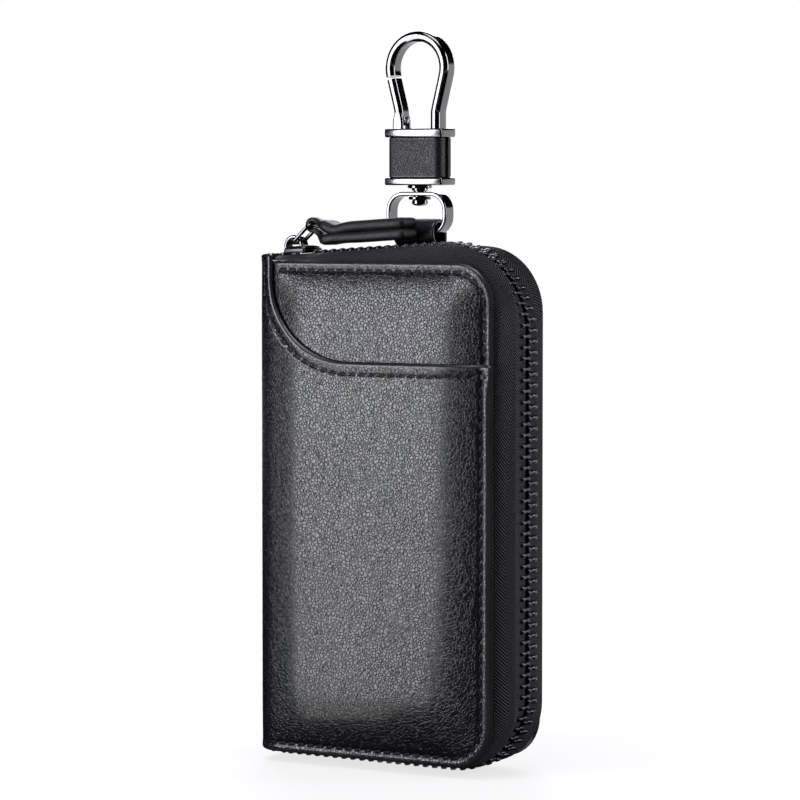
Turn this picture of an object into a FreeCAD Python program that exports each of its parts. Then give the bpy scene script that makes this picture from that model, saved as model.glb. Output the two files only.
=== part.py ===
import FreeCAD, Part
import math
import os
import re
import types

# Key case of the book kind, in millimetres: two padded leather covers on a flat spine, a zip round the
# other three sides and a swivel snap hook on a leather loop.
# The origin is the centre of the snap hook's eye, +Z is up and the front faces -Y.
# The covers are drawn in the case's own frame: X from the middle of the panels, Y from the plane of the
# zip, Z from the top edge of the panels.

SIZES = [
    # covers and spine
    ("panel_width", 68.0),
    ("panel_height", 120.0),
    ("case_depth", 25.0),
    ("panel_corner", 10.0),
    ("leather", 1.3),
    ("spine_corner", 8.0),
    ("spine_rise", 1.7),
    ("hinge_gap", 0.15),
    ("pillow_rise", 2.2),
    ("pillow_inset", 5.0),
    ("pillow_taper", 52.0),
    ("back_rise", 1.2),
    ("lining", 0.6),
    ("board", 1.0),
    # outer pocket: its edge falls beside the spine, turns through a quarter circle and runs to the right
    ("pocket_drop", 24.0),
    ("pocket_side", 6.0),
    ("pocket_turn", 23.0),
    # flat pocket on the front lining
    ("inner_pocket_width", 50.0),
    ("inner_pocket_height", 60.0),
    ("inner_pocket_foot", 7.0),
    # zip
    ("tape", 0.6),
    ("seam_inset", 1.0),
    ("flange_width", 5.0),
    ("zip_side", 3.0),
    ("zip_top", 5.2),
    ("zip_end", 0.8),
    ("zip_bottom", 1.2),
    ("zip_corner", 21.0),
    ("zip_foot_corner", 18.0),
    ("zip_start", 2.7),
    ("bend_clearance", 0.4),
    ("tape_shoulder", 6.5),
    ("shoulder_side", 3.4),
    ("shoulder_top", 4.3),
    ("shoulder_end", 0.3),
    ("shoulder_bottom", 0.7),
    ("shoulder_corner", 15.5),
    ("tooth_pitch", 2.6),
    ("tooth_width", 1.0),
    ("tooth_height", 2.2),
    ("tooth_reach", 3.1),
    ("tooth_lap", 0.5),
    ("stop_width", 0.9),
    ("stop_inset", 1.3),
    # slider, link and leather pull
    ("slider_length", 8.5),
    ("slider_width", 8.4),
    ("slider_plate", 1.0),
    ("slider_room", 2.8),
    ("slider_wedge", 3.0),
    ("wedge_width", 1.6),
    ("bail_span", 5.6),
    ("bail_back", 1.4),
    ("bail_height", 2.8),
    ("bail_width", 3.0),
    ("bail_strip", 1.0),
    ("link_length", 6.6),
    ("link_wire", 1.0),
    ("link_room", 0.35),
    ("link_seat", 0.4),
    ("link_angle", 38.0),
    ("pull_length", 30.0),
    ("pull_clearance", 0.5),
    ("pull_leather", 1.4),
    ("pull_gap", 1.8),
    # strap loop and swivel ring
    ("hook_offset", 2.5),
    ("strap_width", 11.5),
    ("strap_thickness", 1.0),
    ("strap_tail", 8.0),
    ("loop_join", 1.2),
    ("loop_radius", 2.5),
    ("ring_rise", 6.2),
    ("ring_width", 17.0),
    ("ring_height", 10.5),
    ("ring_corner", 4.5),
    ("ring_band", 1.0),
    ("ring_depth", 4.0),
    ("swivel_gap", 1.6),
    ("washer_radius", 3.0),
    ("washer_height", 0.8),
    ("rivet_radius", 1.6),
    ("rivet_shoulder", 2.0),
    ("rivet_flange", 2.75),
    ("rivet_flange_height", 0.8),
    ("rivet_button", 1.95),
    ("rivet_button_height", 1.5),
    ("rivet_grip", 4.0),
    ("run_clearance", 0.05),
    ("side_clearance", 0.15),
    # block and snap hook
    ("lower_bar", 1.8),
    ("upper_bar", 2.1),
    ("bar_width", 16.2),
    ("bar_depth", 6.9),
    ("block_width", 15.2),
    ("block_depth", 6.3),
    ("block_height", 9.8),
    ("sleeve", 1.2),
    ("bar_round", 0.8),
    ("eye_radius", 6.4),
    ("eye_rise", 14.7),
    ("hook_bar", 2.5),
    ("hook_depth", 4.5),
    ("leg_inset", 4.0),
    ("nose_angle", 195.0),
    ("gate_gap", 0.4),
    ("gate_bar", 2.4),
    ("gate_inset", 5.2),
    ("gate_pin_rise", 2.2),
    ("gate_pin_radius", 0.8),
    ("ear", 1.0),
    ("ear_radius", 1.8),
    ("gate_spring_length", 0.7),
    ("gate_spring_wall", 0.6),
    # key fitting
    ("rail_width", 46.0),
    ("rail_height", 9.0),
    ("rail_plate", 1.0),
    ("rail_drop", 10.0),
    ("rail_shift", 3.0),
    ("backing_margin", 2.5),
    ("backing", 1.0),
    ("rod_radius", 0.8),
    ("rod_reach", 3.4),
    ("rail_ear", 1.2),
    ("rail_ear_radius", 2.0),
    ("rail_rivet_radius", 1.1),
    ("rail_rivet_head", 2.0),
    ("rail_rivet_head_height", 0.8),
    ("key_hook_count", 6.0),
    ("key_hook_barrel", 1.9),
    ("key_hook_width", 5.0),
    ("key_hook_length", 22.0),
    ("key_hook_wire", 1.2),
    ("key_hook_sheet", 1.2),
    ("key_hook_mouth", 3.5),
]

doc = FreeCAD.newDocument("KeyCase")
sheet = doc.addObject("Spreadsheet::Sheet", "Sizes")
for row, (alias, value) in enumerate(SIZES, start=1):
    sheet.set(f"A{row}", alias)
    sheet.set(f"B{row}", str(value))
    sheet.setAlias(f"B{row}", alias)
doc.recompute()
size = types.SimpleNamespace(**{alias: float(sheet.get(alias)) for alias, _ in SIZES})
ALIASES = {alias for alias, _ in SIZES}

# Where the case's frame lies, seen from the eye of the hook.
EYE_ABOVE_CASE = "(ring_rise + ring_height + swivel_gap + lower_bar + block_height + upper_bar + eye_rise)"
RING_BEHIND_ZIP = "(case_depth / 2 - leather - strap_thickness - loop_radius)"
CASE = ("-hook_offset", f"-{RING_BEHIND_ZIP}", f"-{EYE_ABOVE_CASE}")
HOOK = ("0", "0", "0")

V = FreeCAD.Vector
UP = V(0, 0, 1)
FRONT = V(0, -1, 0)
nodes = []


def cells(text):
    """An expression in which each size is read from its cell."""
    return re.sub(r"[a-z_]+", lambda word: f"Sizes.{word[0]}" if word[0] in ALIASES else word[0], text)


def bind(item, **expressions):
    """Ties properties to the sheet. A double underscore stands for a dot."""
    for name, text in expressions.items():
        item.setExpression(name.replace("__", "."), cells(text))


def seat(item, origin):
    """Ties an object's place to the sheet."""
    x, y, z = origin
    bind(item, Placement__Base__x=x, Placement__Base__y=y, Placement__Base__z=z)


def node(item, label):
    """Names an object as one piece of the case."""
    item.Label = label
    nodes.append(item)
    return item


def new_body(label, origin=CASE):
    body = doc.addObject("PartDesign::Body", label)
    seat(body, origin)
    return node(body, label)


def draw(body, plane, offset, edges):
    """A sketch on one of the body's own planes, moved along its normal."""
    sketch = body.newObject("Sketcher::SketchObject", f"{body.Name}_outline")
    faces = [item for item in body.Origin.OriginFeatures if item.Role == plane]
    sketch.AttachmentSupport = [(faces[0], "")]
    sketch.MapMode = "FlatFace"
    bind(sketch, AttachmentOffset__Base__z=offset)
    sketch.addGeometry(edges, False)
    return sketch


def shape_of(body, kind, sketch, length, back, taper):
    feature = body.newObject(f"PartDesign::{kind}", f"{body.Name}_{kind.lower()}")
    feature.Profile = sketch
    feature.Reversed = back
    bind(feature, Length=length)
    if taper:
        bind(feature, TaperAngle=taper)
    doc.recompute()
    return feature


def pad(body, sketch, length, back=False, taper=None):
    return shape_of(body, "Pad", sketch, length, back, taper)


def pocket(body, sketch, length, back=False, taper=None):
    before = body.Shape.Volume
    feature = shape_of(body, "Pocket", sketch, length, back, taper)
    if body.Shape.Volume > before - 0.01:
        raise RuntimeError(f"{body.Label}: a pocket cut nothing")
    return feature


def rounded(corners, closed=True):
    """Lines and tangent arcs through corners given as (u, v, radius)."""
    count = len(corners)
    points = [V(u, v, 0) for u, v, _ in corners]
    turns = []
    for place, (_, _, radius) in enumerate(corners):
        here = points[place]
        if radius == 0:
            turns.append((here, None, here))
            continue
        back = (points[place - 1] - here).normalize()
        ahead = (points[(place + 1) % count] - here).normalize()
        half = back.getAngle(ahead) / 2
        reach = radius / math.tan(half)
        centre = here + (back + ahead).normalize() * (radius / math.sin(half))
        middle = centre + (here - centre).normalize() * radius
        turns.append((here + back * reach, middle, here + ahead * reach))
    edges = []
    for place, (entry, middle, leave) in enumerate(turns):
        if middle:
            edges.append(Part.Arc(entry, middle, leave))
        if closed or place < count - 1:
            entry_after = turns[(place + 1) % count][0]
            if (entry_after - leave).Length > 1e-6:
                edges.append(Part.LineSegment(leave, entry_after))
    return edges


def rectangle(u_low, u_high, v_low, v_high, radius=0.0):
    corners = [(u_low, v_low), (u_high, v_low), (u_high, v_high), (u_low, v_high)]
    return rounded([(u, v, radius) for u, v in corners])


def circle(u, v, radius):
    return [Part.Circle(V(u, v, 0), UP, radius)]


def on_arc(radius, degrees):
    """A point at an angle on a circle round the origin."""
    angle = math.radians(degrees)
    return V(radius * math.cos(angle), radius * math.sin(angle), 0)


def tangent_angle(point, radius):
    """Where the line from a point below touches the right side of a circle round the origin."""
    spread = math.acos(radius / point.Length)
    return math.degrees(math.atan2(point.y, point.x) + spread)


# Levels of the front and the back, as distances from the plane of the zip.
HALF_DEPTH = size.case_depth / 2
HALF_WIDTH = size.panel_width / 2
HINGE_Y = HALF_DEPTH - size.spine_corner
BEND_X = -HALF_WIDTH + size.spine_corner
FRONT_SEAM = "(case_depth / 2 - 2 * leather)"
BACK_SEAM = "(case_depth / 2 - leather - board)"
FRONT_SEAM_Y = HALF_DEPTH - 2 * size.leather
BACK_SEAM_Y = HALF_DEPTH - size.leather - size.board


def cover_section(side, outer):
    """Plan of a cover that runs from its right edge round the spine corner, outer mm below the surface."""
    inner = outer + size.leather
    wall = size.spine_corner - outer
    lip = size.spine_corner - inner
    high = side * (HALF_DEPTH - outer)
    low = side * (HALF_DEPTH - inner)
    fold = side * HINGE_Y
    corner = -HALF_WIDTH + outer
    inside = -HALF_WIDTH + inner
    points = [(HALF_WIDTH, high, 0), (corner, high, wall), (corner, fold, 0)]
    points += [(inside, fold, 0), (inside, low, lip), (HALF_WIDTH, low, 0)]
    return rounded(points)


def pillow_outline():
    """Raised middle of a panel."""
    inset = size.pillow_inset
    radius = size.panel_corner - inset
    return rectangle(BEND_X + radius / 2, HALF_WIDTH - inset, -size.panel_height + inset, -inset, radius)


def round_right_corners(body):
    """Rounds the two right corners of a cover that runs the full height."""
    shape = body.Shape
    names = []
    for number, edge in enumerate(shape.Edges, start=1):
        centre = edge.CenterOfMass
        across = abs(edge.BoundBox.YLength - size.leather) < 1e-4
        if across and edge.BoundBox.XLength < 1e-4 and abs(centre.x - shape.BoundBox.XMax) < 1e-4:
            names.append(f"Edge{number}")
    base = body.Tip
    fillet = body.newObject("PartDesign::Fillet", f"{body.Name}_corners")
    fillet.Base = (base, names)
    bind(fillet, Radius="panel_corner")
    doc.recompute()


def cover(label, side, outer, depth, rise):
    """Leather of one panel with its padded middle, hollow behind."""
    body = new_body(label)
    pad(body, draw(body, "XY_Plane", "0", cover_section(side, outer)), "panel_height", back=True)
    round_right_corners(body)
    front = side < 0
    sign = "" if front else "-"
    narrow = "-pillow_taper"
    hollow = f"({depth} - leather)"
    pad(body, draw(body, "XZ_Plane", f"{sign}{depth}", pillow_outline()), rise, not front, narrow)
    pocket(body, draw(body, "XZ_Plane", f"{sign}{hollow}", pillow_outline()), rise, front, narrow)
    return body


def panel_outline(inset):
    """A panel inside its seam, from where the spine corner begins."""
    left = BEND_X + size.bend_clearance
    right = HALF_WIDTH - inset
    radius = max(size.panel_corner - inset, size.tape)
    top = -inset
    foot = -size.panel_height + inset
    return rounded([(left, foot, 0), (right, foot, radius), (right, top, radius), (left, top, 0)])


def front_leather():
    cover("front_cover", -1, size.leather, "(case_depth / 2 - leather)", "pillow_rise")
    outer = cover("front_pocket", -1, 0.0, "case_depth / 2", "pillow_rise")
    left = -HALF_WIDTH + size.pocket_side
    beyond = HALF_WIDTH + size.leather
    mouth = [(left, size.leather, 0), (left, -size.pocket_drop, size.pocket_turn)]
    mouth += [(beyond, -size.pocket_drop, 0), (beyond, size.leather, 0)]
    pocket(outer, draw(outer, "XZ_Plane", "0", rounded(mouth)), "case_depth", back=True)


def back_leather():
    cover("back_cover", 1, 0.0, "case_depth / 2", "back_rise")


def front_filling():
    """Foam under the front leather, the lining over it and the flat pocket on the lining."""
    inner = size.seam_inset + size.flange_width
    foam = new_body("front_padding")
    pad(foam, draw(foam, "XZ_Plane", FRONT_SEAM, panel_outline(inner)), "tape", back=True)
    pad(foam, draw(foam, "XZ_Plane", FRONT_SEAM, pillow_outline()), "pillow_rise", taper="-pillow_taper")
    sheet_body = new_body("front_lining")
    face = f"({FRONT_SEAM} - tape)"
    outline = panel_outline(2 * size.seam_inset)
    pad(sheet_body, draw(sheet_body, "XZ_Plane", face, outline), "lining", back=True)
    flat = new_body("inner_pocket")
    left = (BEND_X + HALF_WIDTH - size.inner_pocket_width) / 2
    foot = -size.panel_height + size.inner_pocket_foot
    outline = rectangle(left, left + size.inner_pocket_width, foot, foot + size.inner_pocket_height)
    pad(flat, draw(flat, "XZ_Plane", f"({face} - lining)", outline), "lining", back=True)


def back_filling():
    """Foam under the back leather, notched for the tail of the strap, and the lining inside it."""
    inset = size.seam_inset
    left = BEND_X + size.bend_clearance
    right = HALF_WIDTH - inset
    top = -inset
    foot = -size.panel_height + inset
    radius = size.panel_corner - inset
    half_notch = size.strap_width / 2 + size.side_clearance
    notch_left = size.hook_offset - half_notch
    notch_right = size.hook_offset + half_notch
    notch_foot = -size.strap_tail - size.side_clearance
    outline = [(left, foot, 0), (right, foot, radius), (right, top, radius)]
    outline += [(notch_right, top, 0), (notch_right, notch_foot, 0)]
    outline += [(notch_left, notch_foot, 0), (notch_left, top, 0), (left, top, 0)]
    foam = new_body("back_padding")
    pad(foam, draw(foam, "XZ_Plane", f"-{BACK_SEAM}", rounded(outline)), "board", back=True)
    crown = draw(foam, "XZ_Plane", f"-({BACK_SEAM} + board)", pillow_outline())
    pad(foam, crown, "back_rise", back=True, taper="-pillow_taper")
    sheet_body = new_body("back_lining")
    inner = panel_outline(size.seam_inset + size.flange_width)
    pad(sheet_body, draw(sheet_body, "XZ_Plane", f"-{BACK_SEAM}", inner), "lining")


def box(label, sizes, place):
    """A plain block in the case's frame."""
    block = doc.addObject("Part::Box", label)
    bind(block, Length=sizes[0], Width=sizes[1], Height=sizes[2])
    seat(block, [f"{origin} + {shift}" for origin, shift in zip(CASE, place)])
    return node(block, label)


def spine():
    half = "(case_depth / 2 - spine_corner - hinge_gap)"
    tall = "(panel_height + 2 * spine_rise)"
    foot = "(-panel_height - spine_rise)"
    box("spine_leather", ("leather", f"2 * {half}", tall), ("(-panel_width / 2)", f"(-{half})", foot))
    inside = "(leather - panel_width / 2)"
    short = "(panel_height - 2 * seam_inset)"
    low = "(seam_inset - panel_height)"
    box("spine_lining", ("lining", f"2 * {half}", short), (inside, f"(-{half})", low))


# The line of the zip: along the top, round two corners and back along the bottom, open at the spine.
ZIP_X = -HALF_WIDTH + size.zip_start
ZIP_RIGHT = HALF_WIDTH + size.zip_side
ZIP_SLOPE = math.atan2(size.zip_top - size.zip_end, ZIP_RIGHT - ZIP_X)


def gusset_line(grow, start, side, top, end, bottom, corner, foot_corner):
    """Corners of a line round the gusset, moved outwards, from the top at the spine to the bottom."""
    right = HALF_WIDTH + side
    share = (start - ZIP_X) / (right - ZIP_X)
    low = -size.panel_height
    corners = [(start, end + share * (top - end) + grow, 0), (right + grow, top + grow, corner + grow)]
    corners += [(right + grow, low - bottom - grow, foot_corner + grow)]
    return corners + [(start, low - end - share * (bottom - end) - grow, 0)]


def zip_line(grow, start):
    """The line on which the two rows of teeth meet."""
    ends = (size.zip_side, size.zip_top, size.zip_end, size.zip_bottom)
    return gusset_line(grow, start, *ends, size.zip_corner, size.zip_foot_corner)


def shoulder_line(grow, start):
    """The line on which a tape bends over to its cover."""
    ends = (size.shoulder_side, size.shoulder_top, size.shoulder_end, size.shoulder_bottom)
    return gusset_line(grow, start, *ends, size.shoulder_corner, size.shoulder_corner)


def seam_line(inset, start):
    """Corners of the line on which a tape meets its panel."""
    right = HALF_WIDTH - inset
    radius = size.panel_corner - inset
    low = -size.panel_height + inset
    return [(start, -inset, 0), (right, -inset, radius), (right, low, radius), (start, low, 0)]


def bend_limit(depth):
    """How far towards the spine a tape can reach inside the rounded corner, at a depth from the zip."""
    inside = size.spine_corner - 2 * size.leather
    room = max(inside ** 2 - (depth - HINGE_Y) ** 2, 0.0)
    return BEND_X - math.sqrt(room) + size.bend_clearance


def zip_tape(label, side, seam, seam_depth):
    """One woven tape: a flange sewn under its cover and a gusset that bulges out to the zip."""
    body = new_body(label)
    sign = "" if side < 0 else "-"
    half = size.tape / 2
    start = bend_limit(size.tape_shoulder)
    rim = rounded(zip_line(half, ZIP_X) + zip_line(-half, ZIP_X)[::-1])
    shoulder = rounded(shoulder_line(half, start) + shoulder_line(-half, start)[::-1])
    foot_start = bend_limit(seam_depth)
    inner = size.seam_inset + size.tape
    foot = rounded(seam_line(size.seam_inset, foot_start) + seam_line(inner, foot_start)[::-1])
    profiles = [draw(body, "XZ_Plane", f"{sign}tooth_reach", rim)]
    profiles += [draw(body, "XZ_Plane", f"{sign}tape_shoulder", shoulder)]
    profiles += [draw(body, "XZ_Plane", f"{sign}{seam}", foot)]
    loft = body.newObject("PartDesign::AdditiveLoft", f"{label}_gusset")
    loft.Profile = profiles[0]
    loft.Sections = profiles[1:]
    loft.Ruled = True
    doc.recompute()
    edge = size.seam_inset + size.flange_width
    flange = rounded(seam_line(size.seam_inset, foot_start) + seam_line(edge, foot_start)[::-1])
    pad(body, draw(body, "XZ_Plane", f"{sign}{seam}", flange), "tape", back=side < 0)


def zip_stations(first):
    """Places along the zip, one pitch apart: the stretch's number, a point and the direction there."""
    places = []
    run = first
    for stretch, curve in enumerate(rounded(zip_line(0.0, ZIP_X), closed=False)):
        edge = curve.toShape()
        while run < edge.Length:
            at = edge.getParameterByLength(run)
            places.append((stretch, edge.valueAt(at), edge.tangentAt(at)))
            run += size.tooth_pitch
        run -= edge.Length
    return places


def zip_block(point, along, length, near, far, height):
    """A block on the zip's line, from one distance across it to another."""
    block = Part.makeBox(length, abs(far - near), height, V(-length / 2, min(near, far), -height / 2))
    turn = FreeCAD.Rotation(V(0, 1, 0), -math.degrees(math.atan2(along.y, along.x)))
    block.Placement = FreeCAD.Placement(V(point.x, 0, point.y), turn)
    return block


def group(label, solids):
    """Like solids of one kind in one piece."""
    feature = doc.addObject("Part::Feature", label)
    feature.Shape = Part.makeCompound(solids)
    seat(feature, CASE)
    return node(feature, label)


def zip_metal(name, side):
    """Teeth and end stops of one tape. The teeth of the two tapes lie between each other."""
    first = size.slider_length + size.tooth_pitch * (0.75 if side < 0 else 1.25)
    reach = side * size.tooth_reach
    lap = -side * size.tooth_lap
    top = []
    rest = []
    stations = zip_stations(first)
    for stretch, point, along in stations[:-1]:
        tooth = zip_block(point, along, size.tooth_width, reach, lap, size.tooth_height)
        (rest if stretch else top).append(tooth)
    group(f"{name}_zip_teeth_top", top)
    group(f"{name}_zip_teeth", rest)
    line = [curve.toShape() for curve in rounded(zip_line(0.0, ZIP_X), closed=False)]
    ends = [(line[0].valueAt(size.stop_width), line[0].tangentAt(0))]
    ends += [(line[-1].valueAt(line[-1].Length - size.stop_width), line[-1].tangentAt(0))]
    stop = side * size.stop_inset
    stops = [zip_block(at, along, size.stop_width, reach, stop, size.tooth_height) for at, along in ends]
    group(f"{name}_zip_stops", stops)


# The slider's own frame: X along the zip, Z away from the case.
SLIDER_AT = size.slider_length / 2 + size.hinge_gap
SLIDER_TOP = size.slider_room / 2 + size.slider_plate
LINK_Z = SLIDER_TOP + size.bail_height - size.bail_strip - size.link_wire
LINK_TILT = math.radians(size.link_angle)
LINK_X = size.link_seat - size.bail_back
PULL_X = LINK_X + size.link_length * math.cos(LINK_TILT)
PULL_Z = LINK_Z + size.link_length * math.sin(LINK_TILT)


def on_slider(label, x=0.0, z=0.0, tilt=0.0):
    """A body in the slider's frame, moved and tilted in it."""
    body = doc.addObject("PartDesign::Body", label)
    slope = -math.degrees(ZIP_SLOPE)
    axis = V(0, 1, 0)
    start = V(ZIP_X + SLIDER_AT * math.cos(ZIP_SLOPE), 0, size.zip_end + SLIDER_AT * math.sin(ZIP_SLOPE))
    frame = FreeCAD.Placement(start, FreeCAD.Rotation(axis, slope))
    local = FreeCAD.Placement(V(x, 0, z), FreeCAD.Rotation(axis, -tilt))
    body.Placement = FreeCAD.Placement(case_origin(), FreeCAD.Rotation()) * frame * local
    return node(body, label)


def case_origin():
    """The case's frame seen from the eye, read back from a seated piece."""
    return doc.getObject("back_cover").Placement.Base


def slider():
    """Two plates joined by a wedge, with a bail arched over the upper one."""
    body = on_slider("slider_body")
    half = size.slider_length / 2
    wide = size.slider_width / 2
    plate = rectangle(-half, half, -wide, wide, wide / 2)
    left = -half + size.slider_plate / 2
    wedge = rectangle(left, left + size.slider_wedge, -size.wedge_width / 2, size.wedge_width / 2)
    pad(body, draw(body, "XY_Plane", "-slider_room / 2", plate), "slider_plate", back=True)
    pad(body, draw(body, "XY_Plane", "-slider_room / 2", wedge), "slider_room")
    pad(body, draw(body, "XY_Plane", "slider_room / 2", plate), "slider_plate")
    bail = on_slider("slider_bail", -size.bail_back)
    foot = size.bail_span / 2
    strip = size.bail_strip
    crown = foot - strip
    top = SLIDER_TOP + size.bail_height
    arch = [(-foot, SLIDER_TOP, 0), (-crown, top, 2 * strip), (crown, top, 2 * strip), (foot, SLIDER_TOP, 0)]
    arch += [(foot - strip, SLIDER_TOP, 0), (crown - strip, top - strip, strip)]
    arch += [(strip - crown, top - strip, strip), (strip - foot, SLIDER_TOP, 0)]
    pad(bail, draw(bail, "XZ_Plane", "bail_width / 2", rounded(arch)), "bail_width", back=True)


def pull():
    """The wire link through the bail and the folded leather strap that hangs on it."""
    wire = size.link_wire
    room = size.bail_width / 2 + size.link_room
    link = on_slider("pull_link", LINK_X, LINK_Z, size.link_angle)
    outline = rectangle(-wire / 2, size.link_length + wire / 2, -room - wire, room + wire, wire)
    outline += rectangle(wire / 2, size.link_length - wire / 2, -room, room)
    pad(link, draw(link, "XY_Plane", "-link_wire / 2", outline), "link_wire")
    strap = on_slider("pull_strap")
    gap = size.pull_gap / 2
    outer = gap + size.pull_leather
    inside = PULL_X - wire / 2 - size.link_room
    fold = inside - size.pull_leather
    end = fold + size.pull_length
    bend = size.pull_leather
    low = [(fold, PULL_Z - outer, bend), (end, PULL_Z - outer, 0), (end, PULL_Z - gap, 0)]
    slot = [(inside, PULL_Z - gap, gap * 0.9), (inside, PULL_Z + gap, gap * 0.9)]
    high = [(end, PULL_Z + gap, 0), (end, PULL_Z + outer, 0), (fold, PULL_Z + outer, bend)]
    profile = rounded(low + slot + high)
    half = f"({RING_BEHIND_ZIP} - loop_radius - strap_thickness - pull_clearance)"
    pad(strap, draw(strap, "XZ_Plane", half, profile), f"2 * {half}", back=True)
    neck = room - size.link_room
    beyond = HALF_DEPTH
    clear = PULL_X + 2 * wire
    for side in (-1, 1):
        low, high = sorted((side * neck, side * beyond))
        notch = rectangle(fold - wire, clear, low, high)
        pocket(strap, draw(strap, "XY_Plane", "slider_room / 2", notch), "pull_length", back=True)


# Heights of the hook's pieces, below the centre of its eye.
BAR_TOP = -size.eye_rise
CORE_TOP = BAR_TOP - size.upper_bar
CORE_FOOT = CORE_TOP - size.block_height
PLATE_FOOT = CORE_FOOT - size.lower_bar
RING_TOP = PLATE_FOOT - size.swivel_gap
BAR_TOP_CELL = "(-eye_rise)"
CORE_TOP_CELL = "(-eye_rise - upper_bar)"
CORE_FOOT_CELL = "(-eye_rise - upper_bar - block_height)"
PLATE_FOOT_CELL = "(-eye_rise - upper_bar - block_height - lower_bar)"


def centred(width, depth, radius=0.0):
    return rectangle(-width / 2, width / 2, -depth / 2, depth / 2, radius)


def hook_outline():
    """The bent bar of the hook, from its right leg over the eye to the nose."""
    inner = size.eye_radius
    outer = inner + size.hook_bar
    root = BAR_TOP - size.upper_bar / 2
    feet = [V(size.leg_inset, root, 0), V(size.leg_inset + size.hook_bar, root, 0)]
    starts = [tangent_angle(foot, radius) for foot, radius in zip(feet, (inner, outer))]
    nose = size.nose_angle
    inside = [on_arc(inner, angle) for angle in (starts[0], (starts[0] + nose) / 2, nose)]
    outside = [on_arc(outer, angle) for angle in (starts[1], (starts[1] + nose) / 2, nose)]
    edges = [Part.LineSegment(feet[1], outside[0]), Part.Arc(*outside)]
    edges += [Part.LineSegment(outside[2], inside[2]), Part.Arc(*inside[::-1])]
    return edges + [Part.LineSegment(inside[0], feet[0]), Part.LineSegment(feet[0], feet[1])]


GATE_X = -size.gate_inset
GATE_Z = BAR_TOP + size.gate_pin_rise


def hook():
    """The cast frame: hook, ears for the gate, upper bar and the core of the block, with its sleeve."""
    body = new_body("hook_frame", HOOK)
    bar = centred(size.bar_width, size.bar_depth, size.bar_round)
    pad(body, draw(body, "XY_Plane", BAR_TOP_CELL, bar), "upper_bar", back=True)
    core_width = size.block_width - 2 * size.sleeve
    core_depth = size.block_depth - 2 * size.sleeve
    core = centred(core_width, core_depth)
    pad(body, draw(body, "XY_Plane", CORE_TOP_CELL, core), "block_height", back=True)
    pad(body, draw(body, "XZ_Plane", "hook_depth / 2", hook_outline()), "hook_depth", back=True)
    radius = size.ear_radius
    root = BAR_TOP - size.upper_bar / 2
    sides = (GATE_X - radius, GATE_X + radius)
    top = GATE_Z + radius
    ear = [(sides[0], root, 0), (sides[1], root, 0), (sides[1], top, radius), (sides[0], top, radius)]
    for offset in ("hook_depth / 2", "ear - hook_depth / 2"):
        pad(body, draw(body, "XZ_Plane", offset, rounded(ear)), "ear", back=True)
    hole = circle(GATE_X, GATE_Z, size.gate_pin_radius + size.run_clearance)
    pocket(body, draw(body, "XZ_Plane", "hook_depth / 2", hole), "hook_depth")
    socket = circle(0, 0, size.rivet_radius + size.run_clearance)
    pocket(body, draw(body, "XY_Plane", CORE_FOOT_CELL, socket), "rivet_grip + run_clearance", back=True)
    sleeve = new_body("leather_sleeve", HOOK)
    walls = centred(size.block_width, size.block_depth, size.bar_round) + core
    pad(sleeve, draw(sleeve, "XY_Plane", CORE_TOP_CELL, walls), "block_height", back=True)
    plate = new_body("lower_bar", HOOK)
    outline = bar + circle(0, 0, size.rivet_radius + size.run_clearance)
    pad(plate, draw(plate, "XY_Plane", CORE_FOOT_CELL, outline), "lower_bar", back=True)


def cylinder_across(label, radius, length, place):
    """A round pin along Y whose front end lies at a place."""
    pin = doc.addObject("Part::Cylinder", label)
    pin.Placement = FreeCAD.Placement(V(0, 0, 0), FreeCAD.Rotation(V(1, 0, 0), -90))
    bind(pin, Radius=radius, Height=length)
    seat(pin, place)
    return node(pin, label)


def gate():
    """The sprung gate between its ears, with its pin and spring."""
    pivot = V(GATE_X, GATE_Z, 0)
    nose = on_arc(size.eye_radius + size.hook_bar / 2, size.nose_angle)
    along = (nose - pivot).normalize()
    across = V(-along.y, along.x, 0) * (size.gate_bar / 2)
    reach = (nose - pivot).Length - size.gate_gap - size.gate_bar / 4
    shoulder = size.ear_radius + size.gate_gap
    barrel = size.ear_radius - size.side_clearance

    def bar(start, end):
        corners = [pivot + along * start + across, pivot + along * start - across]
        corners += [pivot + along * end - across, pivot + along * end + across]
        return rounded([(point.x, point.y, 0) for point in corners])

    body = new_body("gate", HOOK)
    front = "(hook_depth / 2 - ear - side_clearance)"
    thick = "(hook_depth - 2 * ear - 3 * side_clearance - gate_spring_length)"
    pad(body, draw(body, "XZ_Plane", front, circle(GATE_X, GATE_Z, barrel)), thick, back=True)
    pad(body, draw(body, "XZ_Plane", front, bar(0, shoulder + size.gate_gap)), thick, back=True)
    face = "(hook_depth / 2 - side_clearance)"
    wide = "(hook_depth - 2 * side_clearance)"
    pad(body, draw(body, "XZ_Plane", face, bar(shoulder, reach)), wide, back=True)
    hole = circle(GATE_X, GATE_Z, size.gate_pin_radius + size.run_clearance)
    pocket(body, draw(body, "XZ_Plane", "hook_depth / 2", hole), "hook_depth")
    pin_place = ("-gate_inset", "-hook_depth / 2", "gate_pin_rise - eye_rise")
    cylinder_across("gate_pin", "gate_pin_radius", "hook_depth", pin_place)
    spring = new_body("gate_spring", HOOK)
    bore = size.gate_pin_radius + size.run_clearance
    coil = circle(GATE_X, GATE_Z, bore + size.gate_spring_wall) + circle(GATE_X, GATE_Z, bore)
    seat_y = "(ear - hook_depth / 2 + side_clearance + gate_spring_length)"
    pad(spring, draw(spring, "XZ_Plane", seat_y, coil), "gate_spring_length", back=True)


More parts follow.
